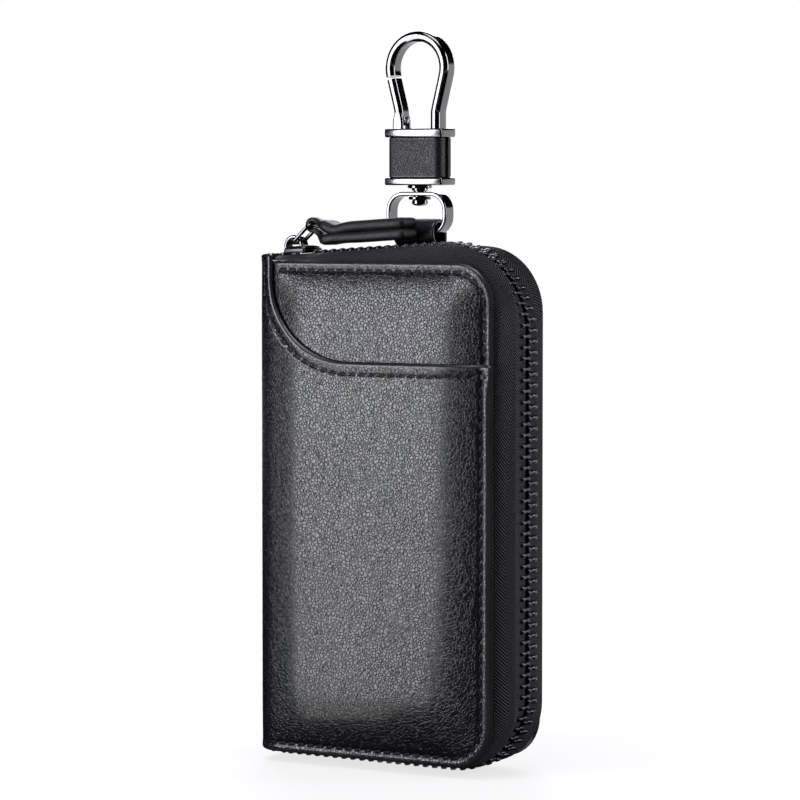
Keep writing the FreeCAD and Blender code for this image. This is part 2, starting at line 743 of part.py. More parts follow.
def swivel():
    """The band ring, the rivet on which it turns and the washer above it."""
    ring = new_body("swivel_ring", HOOK)
    half = size.ring_width / 2
    foot = RING_TOP - size.ring_height
    band = size.ring_band
    outline = rectangle(-half, half, foot, RING_TOP, size.ring_corner)
    outline += rectangle(band - half, half - band, foot + band, RING_TOP - band, size.ring_corner - band)
    pad(ring, draw(ring, "XZ_Plane", "ring_depth / 2", outline), "ring_depth", back=True)
    hole = circle(0, 0, size.rivet_radius + size.run_clearance)
    above = f"({PLATE_FOOT_CELL} - swivel_gap)"
    pocket(ring, draw(ring, "XY_Plane", above, hole), "ring_height / 2")
    rivet = new_body("swivel_rivet", HOOK)
    head = f"({above} - ring_band - side_clearance)"
    button = f"({head} - rivet_flange_height)"
    shoulder = f"({above} + side_clearance)"
    shank = "(ring_band + side_clearance + swivel_gap + lower_bar + rivet_grip)"
    neck = "(swivel_gap - side_clearance - washer_height)"
    stages = [(button, size.rivet_button, "rivet_button_height", True)]
    stages += [(head, size.rivet_flange, "rivet_flange_height", True)]
    stages += [(head, size.rivet_radius, shank, False), (shoulder, size.rivet_shoulder, neck, False)]
    for level, radius, height, down in stages:
        pad(rivet, draw(rivet, "XY_Plane", level, circle(0, 0, radius)), height, back=down)
    washer = new_body("swivel_washer", HOOK)
    outline = circle(0, 0, size.washer_radius) + circle(0, 0, size.rivet_radius + size.run_clearance)
    pad(washer, draw(washer, "XY_Plane", PLATE_FOOT_CELL, outline), "washer_height", back=True)


def strap_loop():
    """The leather loop round the ring's lower bar, its tail sewn inside the back cover."""
    outer = size.loop_radius + size.strap_thickness
    middle = V(HALF_DEPTH - size.leather - outer, size.ring_rise + size.ring_band / 2, 0)
    back = middle.x + outer
    inside = middle.x + size.loop_radius
    join = V(inside, size.loop_join, 0)
    down = join - middle
    last = 360 + math.degrees(math.atan2(down.y, down.x) - math.acos(outer / down.Length))
    bend = [middle + on_arc(outer, angle) for angle in (0, last / 2, last)]
    tail = [V(inside, -size.strap_tail, 0), V(back, -size.strap_tail, 0)]
    outline = [Part.Arc(*bend), Part.LineSegment(bend[2], join), Part.LineSegment(join, tail[0])]
    outline += [Part.LineSegment(tail[0], tail[1]), Part.LineSegment(tail[1], bend[0])]
    body = new_body("strap_loop")
    outline += circle(middle.x, middle.y, size.loop_radius)
    pad(body, draw(body, "YZ_Plane", "(hook_offset - strap_width / 2)", outline), "strap_width")


# The key fitting's rod, in the case's frame.
RAIL_FACE = f"({BACK_SEAM} - lining - backing - rail_plate)"
RAIL_FACE_Y = BACK_SEAM_Y - size.lining - size.backing - size.rail_plate
ROD_Y = RAIL_FACE_Y - size.rod_reach
ROD_Z = -size.rail_drop - size.rail_height + size.rail_ear_radius


def key_fitting():
    """A leather backing, a plate riveted on it and a rod between the plate's two ears."""
    half = size.rail_width / 2
    middle = size.rail_shift
    top = -size.rail_drop
    foot = top - size.rail_height
    margin = size.backing_margin
    rivet_z = top - size.rail_height / 4
    rivets = [middle - half / 2, middle + half / 2]
    holes = []
    for x in rivets:
        holes += circle(x, rivet_z, size.rail_rivet_radius + size.run_clearance)
    backing = new_body("rail_backing")
    outline = rectangle(middle - half - margin, middle + half + margin, foot - margin, top + margin, margin)
    pad(backing, draw(backing, "XZ_Plane", f"-({BACK_SEAM} - lining)", outline + holes), "backing")
    rail = new_body("key_rail")
    outline = rectangle(middle - half, middle + half, foot, top)
    pad(rail, draw(rail, "XZ_Plane", f"-({BACK_SEAM} - lining - backing)", outline + holes), "rail_plate")
    radius = size.rail_ear_radius
    inside = RAIL_FACE_Y + size.rail_plate / 2
    tip = ROD_Y - radius
    ear = [(inside, ROD_Z - radius, 0), (inside, ROD_Z + radius, 0)]
    ear += [(tip, ROD_Z + radius, radius), (tip, ROD_Z - radius, radius)]
    bore = circle(ROD_Y, ROD_Z, size.rod_radius + size.run_clearance)
    for place in ("(rail_shift - rail_width / 2)", "(rail_shift + rail_width / 2 - rail_ear)"):
        pad(rail, draw(rail, "YZ_Plane", place, rounded(ear) + bore), "rail_ear")
    rod = doc.addObject("Part::Cylinder", "rail_rod")
    rod.Placement = FreeCAD.Placement(V(0, 0, 0), FreeCAD.Rotation(V(0, 1, 0), 90))
    bind(rod, Radius="rod_radius", Height="rail_width")
    rod_y = f"({RAIL_FACE} - rod_reach)"
    rod_z = "(rail_ear_radius - rail_drop - rail_height)"
    seat(rod, (f"{CASE[0]} + rail_shift - rail_width / 2", f"{CASE[1]} + {rod_y}", f"{CASE[2]} + {rod_z}"))
    node(rod, "rail_rod")
    solids = []
    for x in rivets:
        face = V(x, RAIL_FACE_Y, rivet_z)
        shank = Part.makeCylinder(size.rail_rivet_radius, size.rail_plate + size.backing, face, -FRONT)
        head = Part.makeCylinder(size.rail_rivet_head, size.rail_rivet_head_height, face, FRONT)
        solids.append(shank.fuse(head).removeSplitter())
    group("rail_rivets", solids)


def key_hook(number, x):
    """A spring-steel hook that swings on the rod: a barrel and a long loop with a mouth on its left."""
    body = new_body(f"key_hook_{number}")
    half = size.key_hook_width / 2
    wire = size.key_hook_wire
    foot = ROD_Z - size.key_hook_length
    barrel = circle(ROD_Y, ROD_Z, size.key_hook_barrel)
    pitch = "(rail_width - 2 * rail_ear) / key_hook_count"
    side = f"(rail_shift + ({number} - (key_hook_count + 1) / 2) * {pitch} - key_hook_width / 2)"
    pad(body, draw(body, "YZ_Plane", side, barrel), "key_hook_width")
    loop = rectangle(x - half, x + half, foot, ROD_Z, half * 0.9)
    loop += rectangle(x - half + wire, x + half - wire, foot + wire, ROD_Z - wire, (half - wire) * 0.9)
    face = f"-({RAIL_FACE} - rod_reach + key_hook_sheet / 2)"
    pad(body, draw(body, "XZ_Plane", face, loop), "key_hook_sheet", back=False)
    mouth_top = ROD_Z - size.key_hook_barrel - wire
    mouth = rectangle(x - size.key_hook_width, x, mouth_top - size.key_hook_mouth, mouth_top)
    pocket(body, draw(body, "XZ_Plane", face, mouth), "key_hook_width", back=True)
    bore = circle(ROD_Y, ROD_Z, size.rod_radius + size.run_clearance)
    pocket(body, draw(body, "YZ_Plane", side, bore), "key_hook_width", back=True)


def key_hooks():
    count = int(size.key_hook_count)
    pitch = (size.rail_width - 2 * size.rail_ear) / count
    for number in range(1, count + 1):
        x = size.rail_shift + (number - (count + 1) / 2) * pitch
        key_hook(number, x)


def write_parts():
    """Checks every object, then writes each piece to a file of its own name."""
    doc.recompute()
    failed = [item.Label for item in doc.Objects if {"Invalid", "Error"} & set(item.State)]
    failed += [item.Label for item in nodes if item.Shape.isNull() or not item.Shape.isValid()]
    if failed:
        raise RuntimeError(f"not built: {failed}")
    os.makedirs("parts", exist_ok=True)
    for item in nodes:
        item.Shape.exportStep(f"parts/{item.Label}.step")
        print(f"{item.Label}: {len(item.Shape.Solids)} solid(s), {item.Shape.Volume:.1f} mm3")


def main():
    front_leather()
    back_leather()
    front_filling()
    back_filling()
    spine()
    zip_tape("front_zip_tape", -1, FRONT_SEAM, FRONT_SEAM_Y)
    zip_tape("back_zip_tape", 1, BACK_SEAM, BACK_SEAM_Y)
    zip_metal("front", -1)
    zip_metal("back", 1)
    slider()
    pull()
    hook()
    gate()
    swivel()
    strap_loop()
    key_fitting()
    key_hooks()
    write_parts()


main()
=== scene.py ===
"""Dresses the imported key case: leather, stitching, zip, swivel hook, key fitting and a small studio."""
import math
from types import SimpleNamespace

import bmesh
import bpy
import numpy as np
from mathutils import Matrix, Vector
from mathutils.geometry import delaunay_2d_cdt


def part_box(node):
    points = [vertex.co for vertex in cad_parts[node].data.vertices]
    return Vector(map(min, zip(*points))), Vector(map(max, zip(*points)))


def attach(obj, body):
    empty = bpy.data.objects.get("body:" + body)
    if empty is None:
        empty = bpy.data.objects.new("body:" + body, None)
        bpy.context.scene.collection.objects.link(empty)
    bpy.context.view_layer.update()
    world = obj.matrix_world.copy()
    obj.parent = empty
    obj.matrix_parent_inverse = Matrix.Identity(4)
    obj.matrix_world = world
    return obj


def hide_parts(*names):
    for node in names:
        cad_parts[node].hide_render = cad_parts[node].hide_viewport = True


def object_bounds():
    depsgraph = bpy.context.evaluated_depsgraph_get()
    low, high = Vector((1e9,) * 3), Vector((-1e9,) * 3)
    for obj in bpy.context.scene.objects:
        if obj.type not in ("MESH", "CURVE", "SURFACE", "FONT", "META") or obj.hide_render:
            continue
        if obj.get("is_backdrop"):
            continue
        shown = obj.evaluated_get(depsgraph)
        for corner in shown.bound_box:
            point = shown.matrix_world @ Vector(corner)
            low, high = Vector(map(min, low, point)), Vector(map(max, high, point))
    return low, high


bl_info = {
    "name": "Key case",
    "version": (1, 0, 0),
    "blender": (4, 5, 0),
    "location": "View3D > Sidebar > Key case",
    "description": "Zipped leather key case with a key rail and a swivel snap hook",
    "category": "Object",
}

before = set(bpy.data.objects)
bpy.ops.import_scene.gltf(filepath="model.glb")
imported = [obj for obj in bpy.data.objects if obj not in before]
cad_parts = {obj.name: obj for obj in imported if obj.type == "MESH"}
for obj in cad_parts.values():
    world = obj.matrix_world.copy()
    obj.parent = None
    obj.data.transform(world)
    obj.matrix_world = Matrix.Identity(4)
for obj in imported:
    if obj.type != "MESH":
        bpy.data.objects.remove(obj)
CAD_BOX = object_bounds()
MM = 0.001
# Mesh points nearer than this, in millimetres, become one
WELD = 0.002


def corners(node):
    """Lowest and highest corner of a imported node, in millimetres."""
    low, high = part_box(node)
    return low / MM, high / MM


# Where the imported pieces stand, in millimetres
COVER_LOW, COVER_HIGH = corners("back_cover")
ZIP_Y = (corners("front_zip_teeth")[0].y + corners("back_zip_teeth")[1].y) / 2
# Pieces are made round one of two places: the case's middle at its top in the zip plane, or the hook's eye
CASE = Vector(((COVER_LOW.x + COVER_HIGH.x) / 2, ZIP_Y, COVER_HIGH.z))
EYE = Vector((0.0, 0.0, 0.0))
HALF_WIDTH = (COVER_HIGH.x - COVER_LOW.x) / 2
PANEL_HEIGHT = COVER_HIGH.z - COVER_LOW.z
# Which way along Y a panel faces
FRONT, BACK = -1, 1


# Sizes and colours that a user may change


def length(name, description, millimetres):
    """A length property; its default is given in millimetres."""
    return bpy.props.FloatProperty(name=name, description=description, default=millimetres * MM,
                                   unit="LENGTH", precision=5)


def angle(name, description, degrees):
    """An angle property; its default is given in degrees."""
    return bpy.props.FloatProperty(name=name, description=description, default=math.radians(degrees),
                                   subtype="ANGLE", unit="ROTATION")


def colour(name, description, default):
    """A colour property: red, green and blue in linear light."""
    return bpy.props.FloatVectorProperty(name=name, description=description, default=default, subtype="COLOR",
                                         size=3, min=0.0, max=1.0)


class LeatherSizes(bpy.types.PropertyGroup):
    """Leather panels of the case."""
    thickness: length("Thickness", "Thickness of the panel leather", 1.3)
    half_depth: length("Half depth", "From the zip plane to the outer leather", 12.5)
    corner: length("Corner", "Radius of the free corners of the panels", 10.0)
    bend: length("Bend", "Outer radius where the panels turn to the spine", 8.0)
    front_rise: length("Front rise", "Height of the padding under the front", 2.2)
    back_rise: length("Back rise", "Height of the padding under the back", 1.2)
    swell: length("Swell", "Width over which the padding comes up from the seam", 15.0)
    pocket_side: length("Pocket side", "Width of the pocket's upright band beside the spine", 6.0)
    pocket_drop: length("Pocket drop", "From the panel's top to the pocket's straight edge", 24.0)
    pocket_curve: length("Pocket curve", "Radius of the pocket's curved edge", 23.0)
    pocket_roll: length("Pocket roll", "How far the pocket's upright band stands above the panel's top", 1.8)
    welt: length("Welt", "Height of the rolled rim along the panel edges", 0.1)
    mesh: length("Mesh", "Spacing of the mesh points on the panels", 1.5)


class StitchSizes(bpy.types.PropertyGroup):
    """Saddle stitching."""
    inset: length("Inset", "From the edge of a panel to its seam", 2.3)
    pitch: length("Pitch", "Length of one stitch with its gap", 2.75)
    run: length("Run", "Length of the thread on top", 2.0)
    thread: length("Thread", "Diameter of the thread", 0.75)
    groove: length("Groove", "Depth to which a seam pulls the leather down", 0.42)
    pocket_inset: length("Pocket inset", "From the pocket's edge to its seam", 2.9)


class ZipSizes(bpy.types.PropertyGroup):
    """Zip chain and tapes."""
    rim: length("Rim", "From the zip plane to the tape's corded edge", 3.1)
    web: length("Web", "From the zip plane to the tape's edge under the teeth", 1.0)
    shoulder: length("Shoulder", "From the zip plane to the tape's bend", 6.5)
    tape: length("Tape", "Thickness of the tape", 0.6)
    pitch: length("Pitch", "Spacing of the teeth on one tape", 2.6)
    tooth_width: length("Tooth width", "Width of a tooth along the chain", 1.0)
    tooth_height: length("Tooth height", "Height of a tooth across the tape", 2.2)
    turn: length("Turn", "Radius of the chain at the upper corner", 21.0)
    foot_turn: length("Foot turn", "Radius of the chain at the lower corner", 18.0)
    start: length("Start", "From the case's left side to the chain's ends", 2.7)
    side: length("Side", "How far the chain stands out past the panels on the right", 3.0)
    top: length("Top", "Height of the chain's line above the panel's top at its right corner", 5.2)
    end: length("End", "Height of the chain's line above the panel's top at the spine", 0.8)
    foot: length("Foot", "Depth of the chain's line below the panel at its right corner", 1.2)
    bend_side: length("Bend side", "How far the tape's bend stands out past the panels on the right", 3.4)
    bend_top: length("Bend top", "Height of the tape's bend above the panel's top at its right corner", 4.3)
    bend_end: length("Bend end", "Height of the tape's bend above the panel's top at the spine", 0.3)
    bend_foot: length("Bend foot", "Depth of the tape's bend below the panel at its right corner", 0.7)
    bend_turn: length("Bend turn", "Radius of the tape's bend at the corners", 15.5)
    cord: length("Cord", "Height of the corded edge beside the teeth", 0.3)
    seam_inset: length("Seam inset", "From a panel's edge to where its tape comes out", 1.0)
    flange: length("Flange", "Width of the tape under the panel", 5.0)
    first_front: length("First front tooth", "Along the chain to the front's first tooth", 10.45)
    first_back: length("First back tooth", "Along the chain to the back's first tooth", 11.75)
    lap: length("Lap", "How far a tooth reaches past the zip plane", 0.5)
    stop: length("Stop", "From the chain's ends to the stops", 0.9)
    stop_inset: length("Stop inset", "From the zip plane to a stop's face", 1.3)
    slider_at: length("Slider", "From the chain's start to the slider's middle", 4.4)
    slider_length: length("Slider length", "Length of the slider along the chain", 8.5)
    slider_width: length("Slider width", "Width of the slider across the chain", 8.4)
    slider_plate: length("Slider plate", "Thickness of the slider's plates", 1.0)
    slider_room: length("Slider room", "Gap between the slider's plates", 2.8)
    bail_span: length("Bail span", "Length of the bail's arch", 5.6)
    bail_back: length("Bail back", "From the slider's middle back to the bail's", 1.4)
    bail_height: length("Bail height", "Height of the bail over the slider", 2.8)
    bail_width: length("Bail width", "Width of the bail's strip", 3.0)
    bail_strip: length("Bail strip", "Thickness of the bail's strip", 1.0)


class PullSizes(bpy.types.PropertyGroup):
    """Wire link and folded leather pull, in the slider's frame."""
    link_seat: length("Link seat", "Where the link hangs in the bail, past the bail's middle", 0.4)
    link_z: length("Link height", "Height at which the link hangs in the bail", 3.2)
    link_length: length("Link length", "Length of the wire link", 6.6)
    link_half: length("Link half width", "Half the width of the link at its wire's middle", 2.35)
    link_wire: length("Link wire", "Diameter of the link's wire", 1.0)
    link_tilt: angle("Link tilt", "Angle at which the link rises", 38.0)
    start: length("Start", "Where the folded end lies along the chain", 1.95)
    length: length("Length", "Length of the pull", 30.0)
    half: length("Half width", "Half the width of the pull", 3.7)
    neck: length("Neck", "Half the width of the pull at the link", 1.45)
    upper: length("Upper", "Height of the upper leaf's middle", 6.2)
    lower: length("Lower", "Height of the lower leaf's middle", 3.55)
    leaf: length("Upper leaf", "Thickness of the padded upper leaf", 2.6)
    under_leaf: length("Lower leaf", "Thickness of the lower leaf", 2.7)
    fold: length("Fold", "Radius of the fold round the link, at the leather's middle", 1.3)
    neck_leather: length("Neck leather", "Thickness of the leather at the fold", 1.2)


class HookSizes(bpy.types.PropertyGroup):
    """Strap loop, swivel and snap hook."""
    strap: length("Strap", "Thickness of the strap loop", 1.0)
    ring_band: length("Ring band", "Thickness of the ring's band", 1.0)
    ring_corner: length("Ring corner", "Outer radius of the ring's corners", 4.5)
    rivet_button: length("Rivet button", "Radius of the rivet's button", 1.95)
    rivet_shank: length("Rivet shank", "Radius of the rivet's shank", 1.6)
    rivet_shoulder: length("Rivet shoulder", "Radius of the rivet's shoulder", 2.0)
    bar: length("Bar", "Thickness of the hook's bent bar", 2.5)
    depth: length("Depth", "Depth of the hook from front to back", 4.5)
    leg: length("Leg", "From the middle to the inside of the right leg's foot", 4.0)
    foot: length("Foot", "Height of the legs' straight feet above the upper bar", 4.3)
    eye_rise: length("Eye rise", "Height of the eye's middle above the upper bar", 14.7)
    nose: bpy.props.FloatProperty(name="Nose", default=195.0,
                                  description="Where the bent bar ends, in degrees round the eye")
    sleeve: length("Sleeve", "Thickness of the leather sleeve", 1.2)
    gate_inset: length("Gate inset", "From the middle to the gate's pivot", 5.2)
    gate_rise: length("Gate rise", "Height of the gate's pivot above the upper bar", 2.2)
    gate_bar: length("Gate bar", "Thickness of the gate", 2.4)


class Finishes(bpy.types.PropertyGroup):
    """Colours of the materials."""
    leather: colour("Leather", "Dyed leather", (0.0045, 0.0045, 0.0052))
    edge: colour("Edge paint", "Painted leather edges", (0.012, 0.012, 0.0125))
    thread: colour("Thread", "Bonded sewing thread", (0.006, 0.006, 0.0065))
    tape: colour("Tape", "Woven zip tape", (0.009, 0.0093, 0.0105))
    gunmetal: colour("Gunmetal", "Polished black nickel of the hook", (0.20, 0.19, 0.195))
    zip_metal: colour("Zip metal", "Blackened teeth and slider", (0.085, 0.085, 0.09))
    steel: colour("Steel", "Key rail and key hooks", (0.55, 0.54, 0.52))
    lining: colour("Lining", "Fine lining cloth", (0.020, 0.020, 0.022))
    foam: colour("Foam", "Padding under the leather", (0.12, 0.12, 0.12))
    floor: colour("Floor", "Plain pale floor", (0.93, 0.93, 0.93))


class Studio(bpy.types.PropertyGroup):
    """Camera and lamps."""
    azimuth: angle("Azimuth", "Angle of the camera round the case", 32.0)
    pitch: angle("Pitch", "How far the camera looks down", 3.13)
    distance: length("Distance", "From the camera to the case", 900.0)
    above_top: length("Above top", "Height of the camera above the panel's top edge", 15.5)
    aside: length("Aside", "How far the aim lies beside the middle of the case", 1.35)
    lens: length("Lens", "Focal length of the camera", 167.3)


class KeyCase(bpy.types.PropertyGroup):
    """All settings of the key case."""
    leather: bpy.props.PointerProperty(type=LeatherSizes)
    stitch: bpy.props.PointerProperty(type=StitchSizes)
    zip: bpy.props.PointerProperty(type=ZipSizes)
    pull: bpy.props.PointerProperty(type=PullSizes)
    hook: bpy.props.PointerProperty(type=HookSizes)
    finish: bpy.props.PointerProperty(type=Finishes)
    studio: bpy.props.PointerProperty(type=Studio)


def own_properties(group):
    """A property group's own properties."""
    return [item for item in group.bl_rna.properties if item.identifier not in ("rna_type", "name")]


def in_mm(group):
    """A property group's values by name, with lengths in millimetres."""
    values = {}
    for item in own_properties(group):
        value = getattr(group, item.identifier)
        values[item.identifier] = value / MM if item.unit == "LENGTH" else value
    return SimpleNamespace(**values)


# Meshes


def new_object(name, data):
    """An object in the scene."""
    made = bpy.data.objects.new(name, data)
    bpy.context.scene.collection.objects.link(made)
    return made


class Form:
    """Points in millimetres and faces that become one mesh; each face is marked with its material's place."""

    def __init__(self):
        self.points, self.faces, self.marks, self.weave = [], [], [], []

    def add(self, points, faces, marks=None, weave=None):
        """Adds points and faces, with a mark for each face and a place in the weave for each point."""
        start = len(self.points)
        self.points += [Vector(p) for p in points]
        self.weave += weave or [(0.0, 0.0)] * len(points)
        self.faces += [[start + i for i in face] for face in faces]
        self.marks += marks or [0] * len(faces)

    def grid(self, rows, mark=0, ring=False, caps=True, weave=None):
        """Joins closed rows of points by quads; ring joins the last row to the first.
        Mark is one mark, or a list with one for each column."""
        count, wide = len(rows), len(rows[0])
        columns = mark if isinstance(mark, list) else [mark] * wide
        faces, marks = [], []
        for r in range(count if ring else count - 1):
            for c in range(wide):
                right, above = (c + 1) % wide, (r + 1) % count
                faces.append([r * wide + c, r * wide + right, above * wide + right, above * wide + c])
                marks.append(columns[c])
        if caps and not ring:
            faces.append(list(range(wide)))
            faces.append([(count - 1) * wide + c for c in range(wide)])
            marks += [max(columns)] * 2
        self.add([p for row in rows for p in row], faces, marks, weave)

    def piece(self, name, body, materials, nodes=(), slot=None, origin=CASE, sharp=40.0):
        """Makes the mesh object, with normals outward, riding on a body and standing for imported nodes."""
        mesh = bpy.data.meshes.new(name)
        mesh.from_pydata([(p + origin) * MM for p in self.points], [], self.faces)
        mesh.polygons.foreach_set("material_index", self.marks)
        weave = mesh.uv_layers.new(name="weave")
        for loop in mesh.loops:
            weave.data[loop.index].uv = self.weave[loop.vertex_index]
        shell = bmesh.new()
        shell.from_mesh(mesh)
        bmesh.ops.remove_doubles(shell, verts=shell.verts, dist=WELD * MM)
        bmesh.ops.recalc_face_normals(shell, faces=shell.faces)
        shell.to_mesh(mesh)
        shell.free()
        mesh.shade_smooth()
        mesh.set_sharp_from_angle(angle=math.radians(sharp))
        for material in materials:
            mesh.materials.append(material)
        made = new_object(name, mesh)
        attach(made, body)
        if nodes:
            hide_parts(*nodes)
        return made


def circle(steps):
    """Angles once round, in radians."""
    return [2 * math.pi * k / steps for k in range(steps)]


def arc(centre, radius, start, end, steps):
    """Points of an arc in a plane, angles in degrees."""
    found = []
    for i in range(steps + 1):
        turn = math.radians(start + (end - start) * i / steps)
        found.append((centre[0] + radius * math.cos(turn), centre[1] + radius * math.sin(turn)))
    return found


def resample(points, step, closed=False):
    """Evenly spaced points along a line of points in a plane or in space."""
    points = np.array([tuple(p) for p in points], float)
    if closed:
        points = np.vstack([points, points[:1]])
    run = np.concatenate([[0.0], np.cumsum(np.linalg.norm(np.diff(points, axis=0), axis=1))])
    count = max(2, round(run[-1] / step))
    at = np.linspace(0.0, run[-1], count + 1)
    if closed:
        at = at[:-1]
    return np.stack([np.interp(at, run, points[:, k]) for k in range(points.shape[1])], axis=1)


def divide(points, step, closed=True):
    """Adds points to a line in a plane so that no run is longer than step, with its own points kept."""
    found = []
    ends = points[1:] + points[:1] if closed else points[1:]
    for a, b in zip(points, ends):
        count = max(1, math.ceil(math.dist(a, b) / step))
        found += [(a[0] + (b[0] - a[0]) * i / count, a[1] + (b[1] - a[1]) * i / count) for i in range(count)]
    return found if closed else found + [points[-1]]


def distance_to(points, line, closed=False):
    """Distance from each point in a plane to a line of points."""
    points, line = np.asarray(points, float), np.asarray(line, float)
    if closed:
        line = np.vstack([line, line[:1]])
    best = np.full(len(points), np.inf)
    for a, b in zip(line[:-1], line[1:]):
        along = b - a
        t = np.clip(((points - a) @ along) / max(along @ along, 1e-12), 0.0, 1.0)
        best = np.minimum(best, np.linalg.norm(points - a - t[:, None] * along, axis=1))
    return best


def inside(points, outline):
    """Which points in a plane lie inside a closed outline."""
    points, outline = np.asarray(points, float), np.asarray(outline, float)
    found = np.zeros(len(points), bool)
    for a, b in zip(outline, np.roll(outline, -1, axis=0)):
        if a[1] == b[1]:
            continue
        crosses = (a[1] > points[:, 1]) != (b[1] > points[:, 1])
        found ^= crosses & (points[:, 0] < (b[0] - a[0]) * (points[:, 1] - a[1]) / (b[1] - a[1]) + a[0])
    return found


# An inset outline keeps its distance at corners whose half angle has at least this cosine
SHARPEST = 0.55


def inset(outline, by):
    """A closed outline in a plane, counter-clockwise, moved inward."""
    outline = np.asarray(outline, float)
    before, after = np.roll(outline, 1, axis=0), np.roll(outline, -1, axis=0)
    along = after - before
    inward = np.stack([-along[:, 1], along[:, 0]], axis=1)
    inward /= np.linalg.norm(inward, axis=1)[:, None]
    ahead = (after - outline) / np.linalg.norm(after - outline, axis=1)[:, None]
    square = np.stack([-ahead[:, 1], ahead[:, 0]], axis=1)
    spread = np.clip((inward * square).sum(axis=1), SHARPEST, 1.0)
    return outline + inward * (by / spread)[:, None]


def smooth(low, high, value):
    """Rises from 0 at low to 1 at high, level at both ends."""
    t = np.clip((np.asarray(value, float) - low) / (high - low), 0.0, 1.0)
    return t * t * (3.0 - 2.0 * t)


# Inset and depth of the rings round a sheet's edge, as shares of its thickness
EDGE_ROUND = ((0.70, 0.0), (0.35, 0.07), (0.12, 0.26), (0.0, 0.5), (0.12, 0.74), (0.35, 0.93), (0.70, 1.0))


# How near a sheet's mesh points may come, as shares of their spacing: grid to rim, rows to rim, grid to rows
GRID_TO_RIM, ROWS_TO_RIM, GRID_TO_ROWS = 0.55, 0.2, 0.5
# The triangulation keeps what lies inside the rim and welds points nearer than this
INSIDE_ONLY, FLAT_WELD = 1, 1e-6


def sheet(form, outline, thickness, place, spacing, rows=(), edge_mark=1):
    """A cut sheet with a rounded painted edge; rows are lines of points that its mesh has to hold.
    Place turns flat points and their depths into points in space."""
    outline = np.asarray(outline, float)
    rings = [(inset(outline, inward * thickness), down * thickness) for inward, down in EDGE_ROUND]
    rim = rings[0][0]
    low, high = rim.min(axis=0), rim.max(axis=0)
    across = np.arange(low[0], high[0], spacing)
    up = np.arange(low[1], high[1], spacing)
    flat = np.array([(x + (spacing / 2 if i % 2 else 0.0), z) for i, z in enumerate(up) for x in across])
    flat = flat[inside(flat, rim)]
    flat = flat[distance_to(flat, rim, closed=True) > spacing * GRID_TO_RIM]
    extra = np.vstack([np.asarray(r, float) for r in rows]) if len(rows) else np.zeros((0, 2))
    if len(extra):
        extra = extra[inside(extra, rim)]
        extra = extra[distance_to(extra, rim, closed=True) > spacing * ROWS_TO_RIM]
        near = np.min(np.linalg.norm(flat[:, None] - extra[None], axis=2), axis=1)
        flat = flat[near > spacing * GRID_TO_ROWS]
    inner = np.vstack([flat, extra])
    count = len(rim)
    every = [Vector(p) for p in np.vstack([rim, inner])]
    edges = [(i, (i + 1) % count) for i in range(count)]
    made, _, faces, _, _, _ = delaunay_2d_cdt(every, edges, [], INSIDE_ONLY, FLAT_WELD)
    made = np.array([tuple(p) for p in made])
    top = place(made, np.zeros(len(made)))
    foot = place(made, np.full(len(made), thickness))
    weave = [tuple(p) for p in made]
    form.add(top, faces, weave=weave)
    form.add(foot, [list(reversed(face)) for face in faces], weave=weave)
    loops = [place(ring, np.full(count, depth)) for ring, depth in rings]
    form.grid(loops, mark=edge_mark, caps=False)


# Materials


def node(tree, kind, inputs=None, **settings):
    """One shader node; inputs gives values, or sockets to link, by the names or places of its own sockets."""
    made = tree.nodes.new("ShaderNode" + kind)
    for name, value in settings.items():
        setattr(made, name, value)
    for name, value in (inputs or {}).items():
        if isinstance(value, bpy.types.NodeSocket):
            tree.links.new(value, made.inputs[name])
        else:
            made.inputs[name].default_value = value
    return made


def math_node(tree, operation, first, second=0.0):
    return node(tree, "Math", {0: first, 1: second}, operation=operation).outputs[0]


def plus(tree, first, second):
    return math_node(tree, "ADD", first, second)


def times(tree, first, second):
    return math_node(tree, "MULTIPLY", first, second)


def noise(tree, place, scale, detail, roughness=0.5, wanted="Fac"):
    """Noise over a place; scale is a number or a socket."""
    made = node(tree, "TexNoise", {"Vector": place, "Scale": scale, "Detail": detail, "Roughness": roughness})
    return made.outputs[wanted]


def map_range(tree, value, low, high, new_low, new_high, **settings):
    """A value between low and high, carried over to between two new ones."""
    made = node(tree, "MapRange", {"Value": value, "From Min": low, "From Max": high, "To Min": new_low,
                                   "To Max": new_high}, **settings)
    return made.outputs["Result"]


def new_group(name, inputs, outputs):
    """A shader node group with number sockets, and its inner input and output nodes."""
    group = bpy.data.node_groups.new(name, "ShaderNodeTree")
    for label, default in inputs.items():
        socket = group.interface.new_socket(label, in_out="INPUT", socket_type="NodeSocketFloat")
        socket.default_value = default
    for label in outputs:
        group.interface.new_socket(label, in_out="OUTPUT", socket_type="NodeSocketFloat")
    return group, group.nodes.new("NodeGroupInput").outputs, group.nodes.new("NodeGroupOutput").inputs


# Nearly all of a noise lies between these values
NOISE_RANGE = (0.3, 0.7)
# Leather grain: how far its cells are bent, in metres, and how wide the creases between them are, in cells
CELL_WARP, CREASE_WIDTH = 0.0018, 0.17
# What pores and creases add to the leather's height, and how fine pores and folds are beside the cells
PORE_HEIGHT, CREASE_HEIGHT = 0.15, -0.6
PORE_SCALE, FOLD_SCALE = 2.6, 0.75
FOLD_STRETCH = (0.6, 0.6, 1.0)


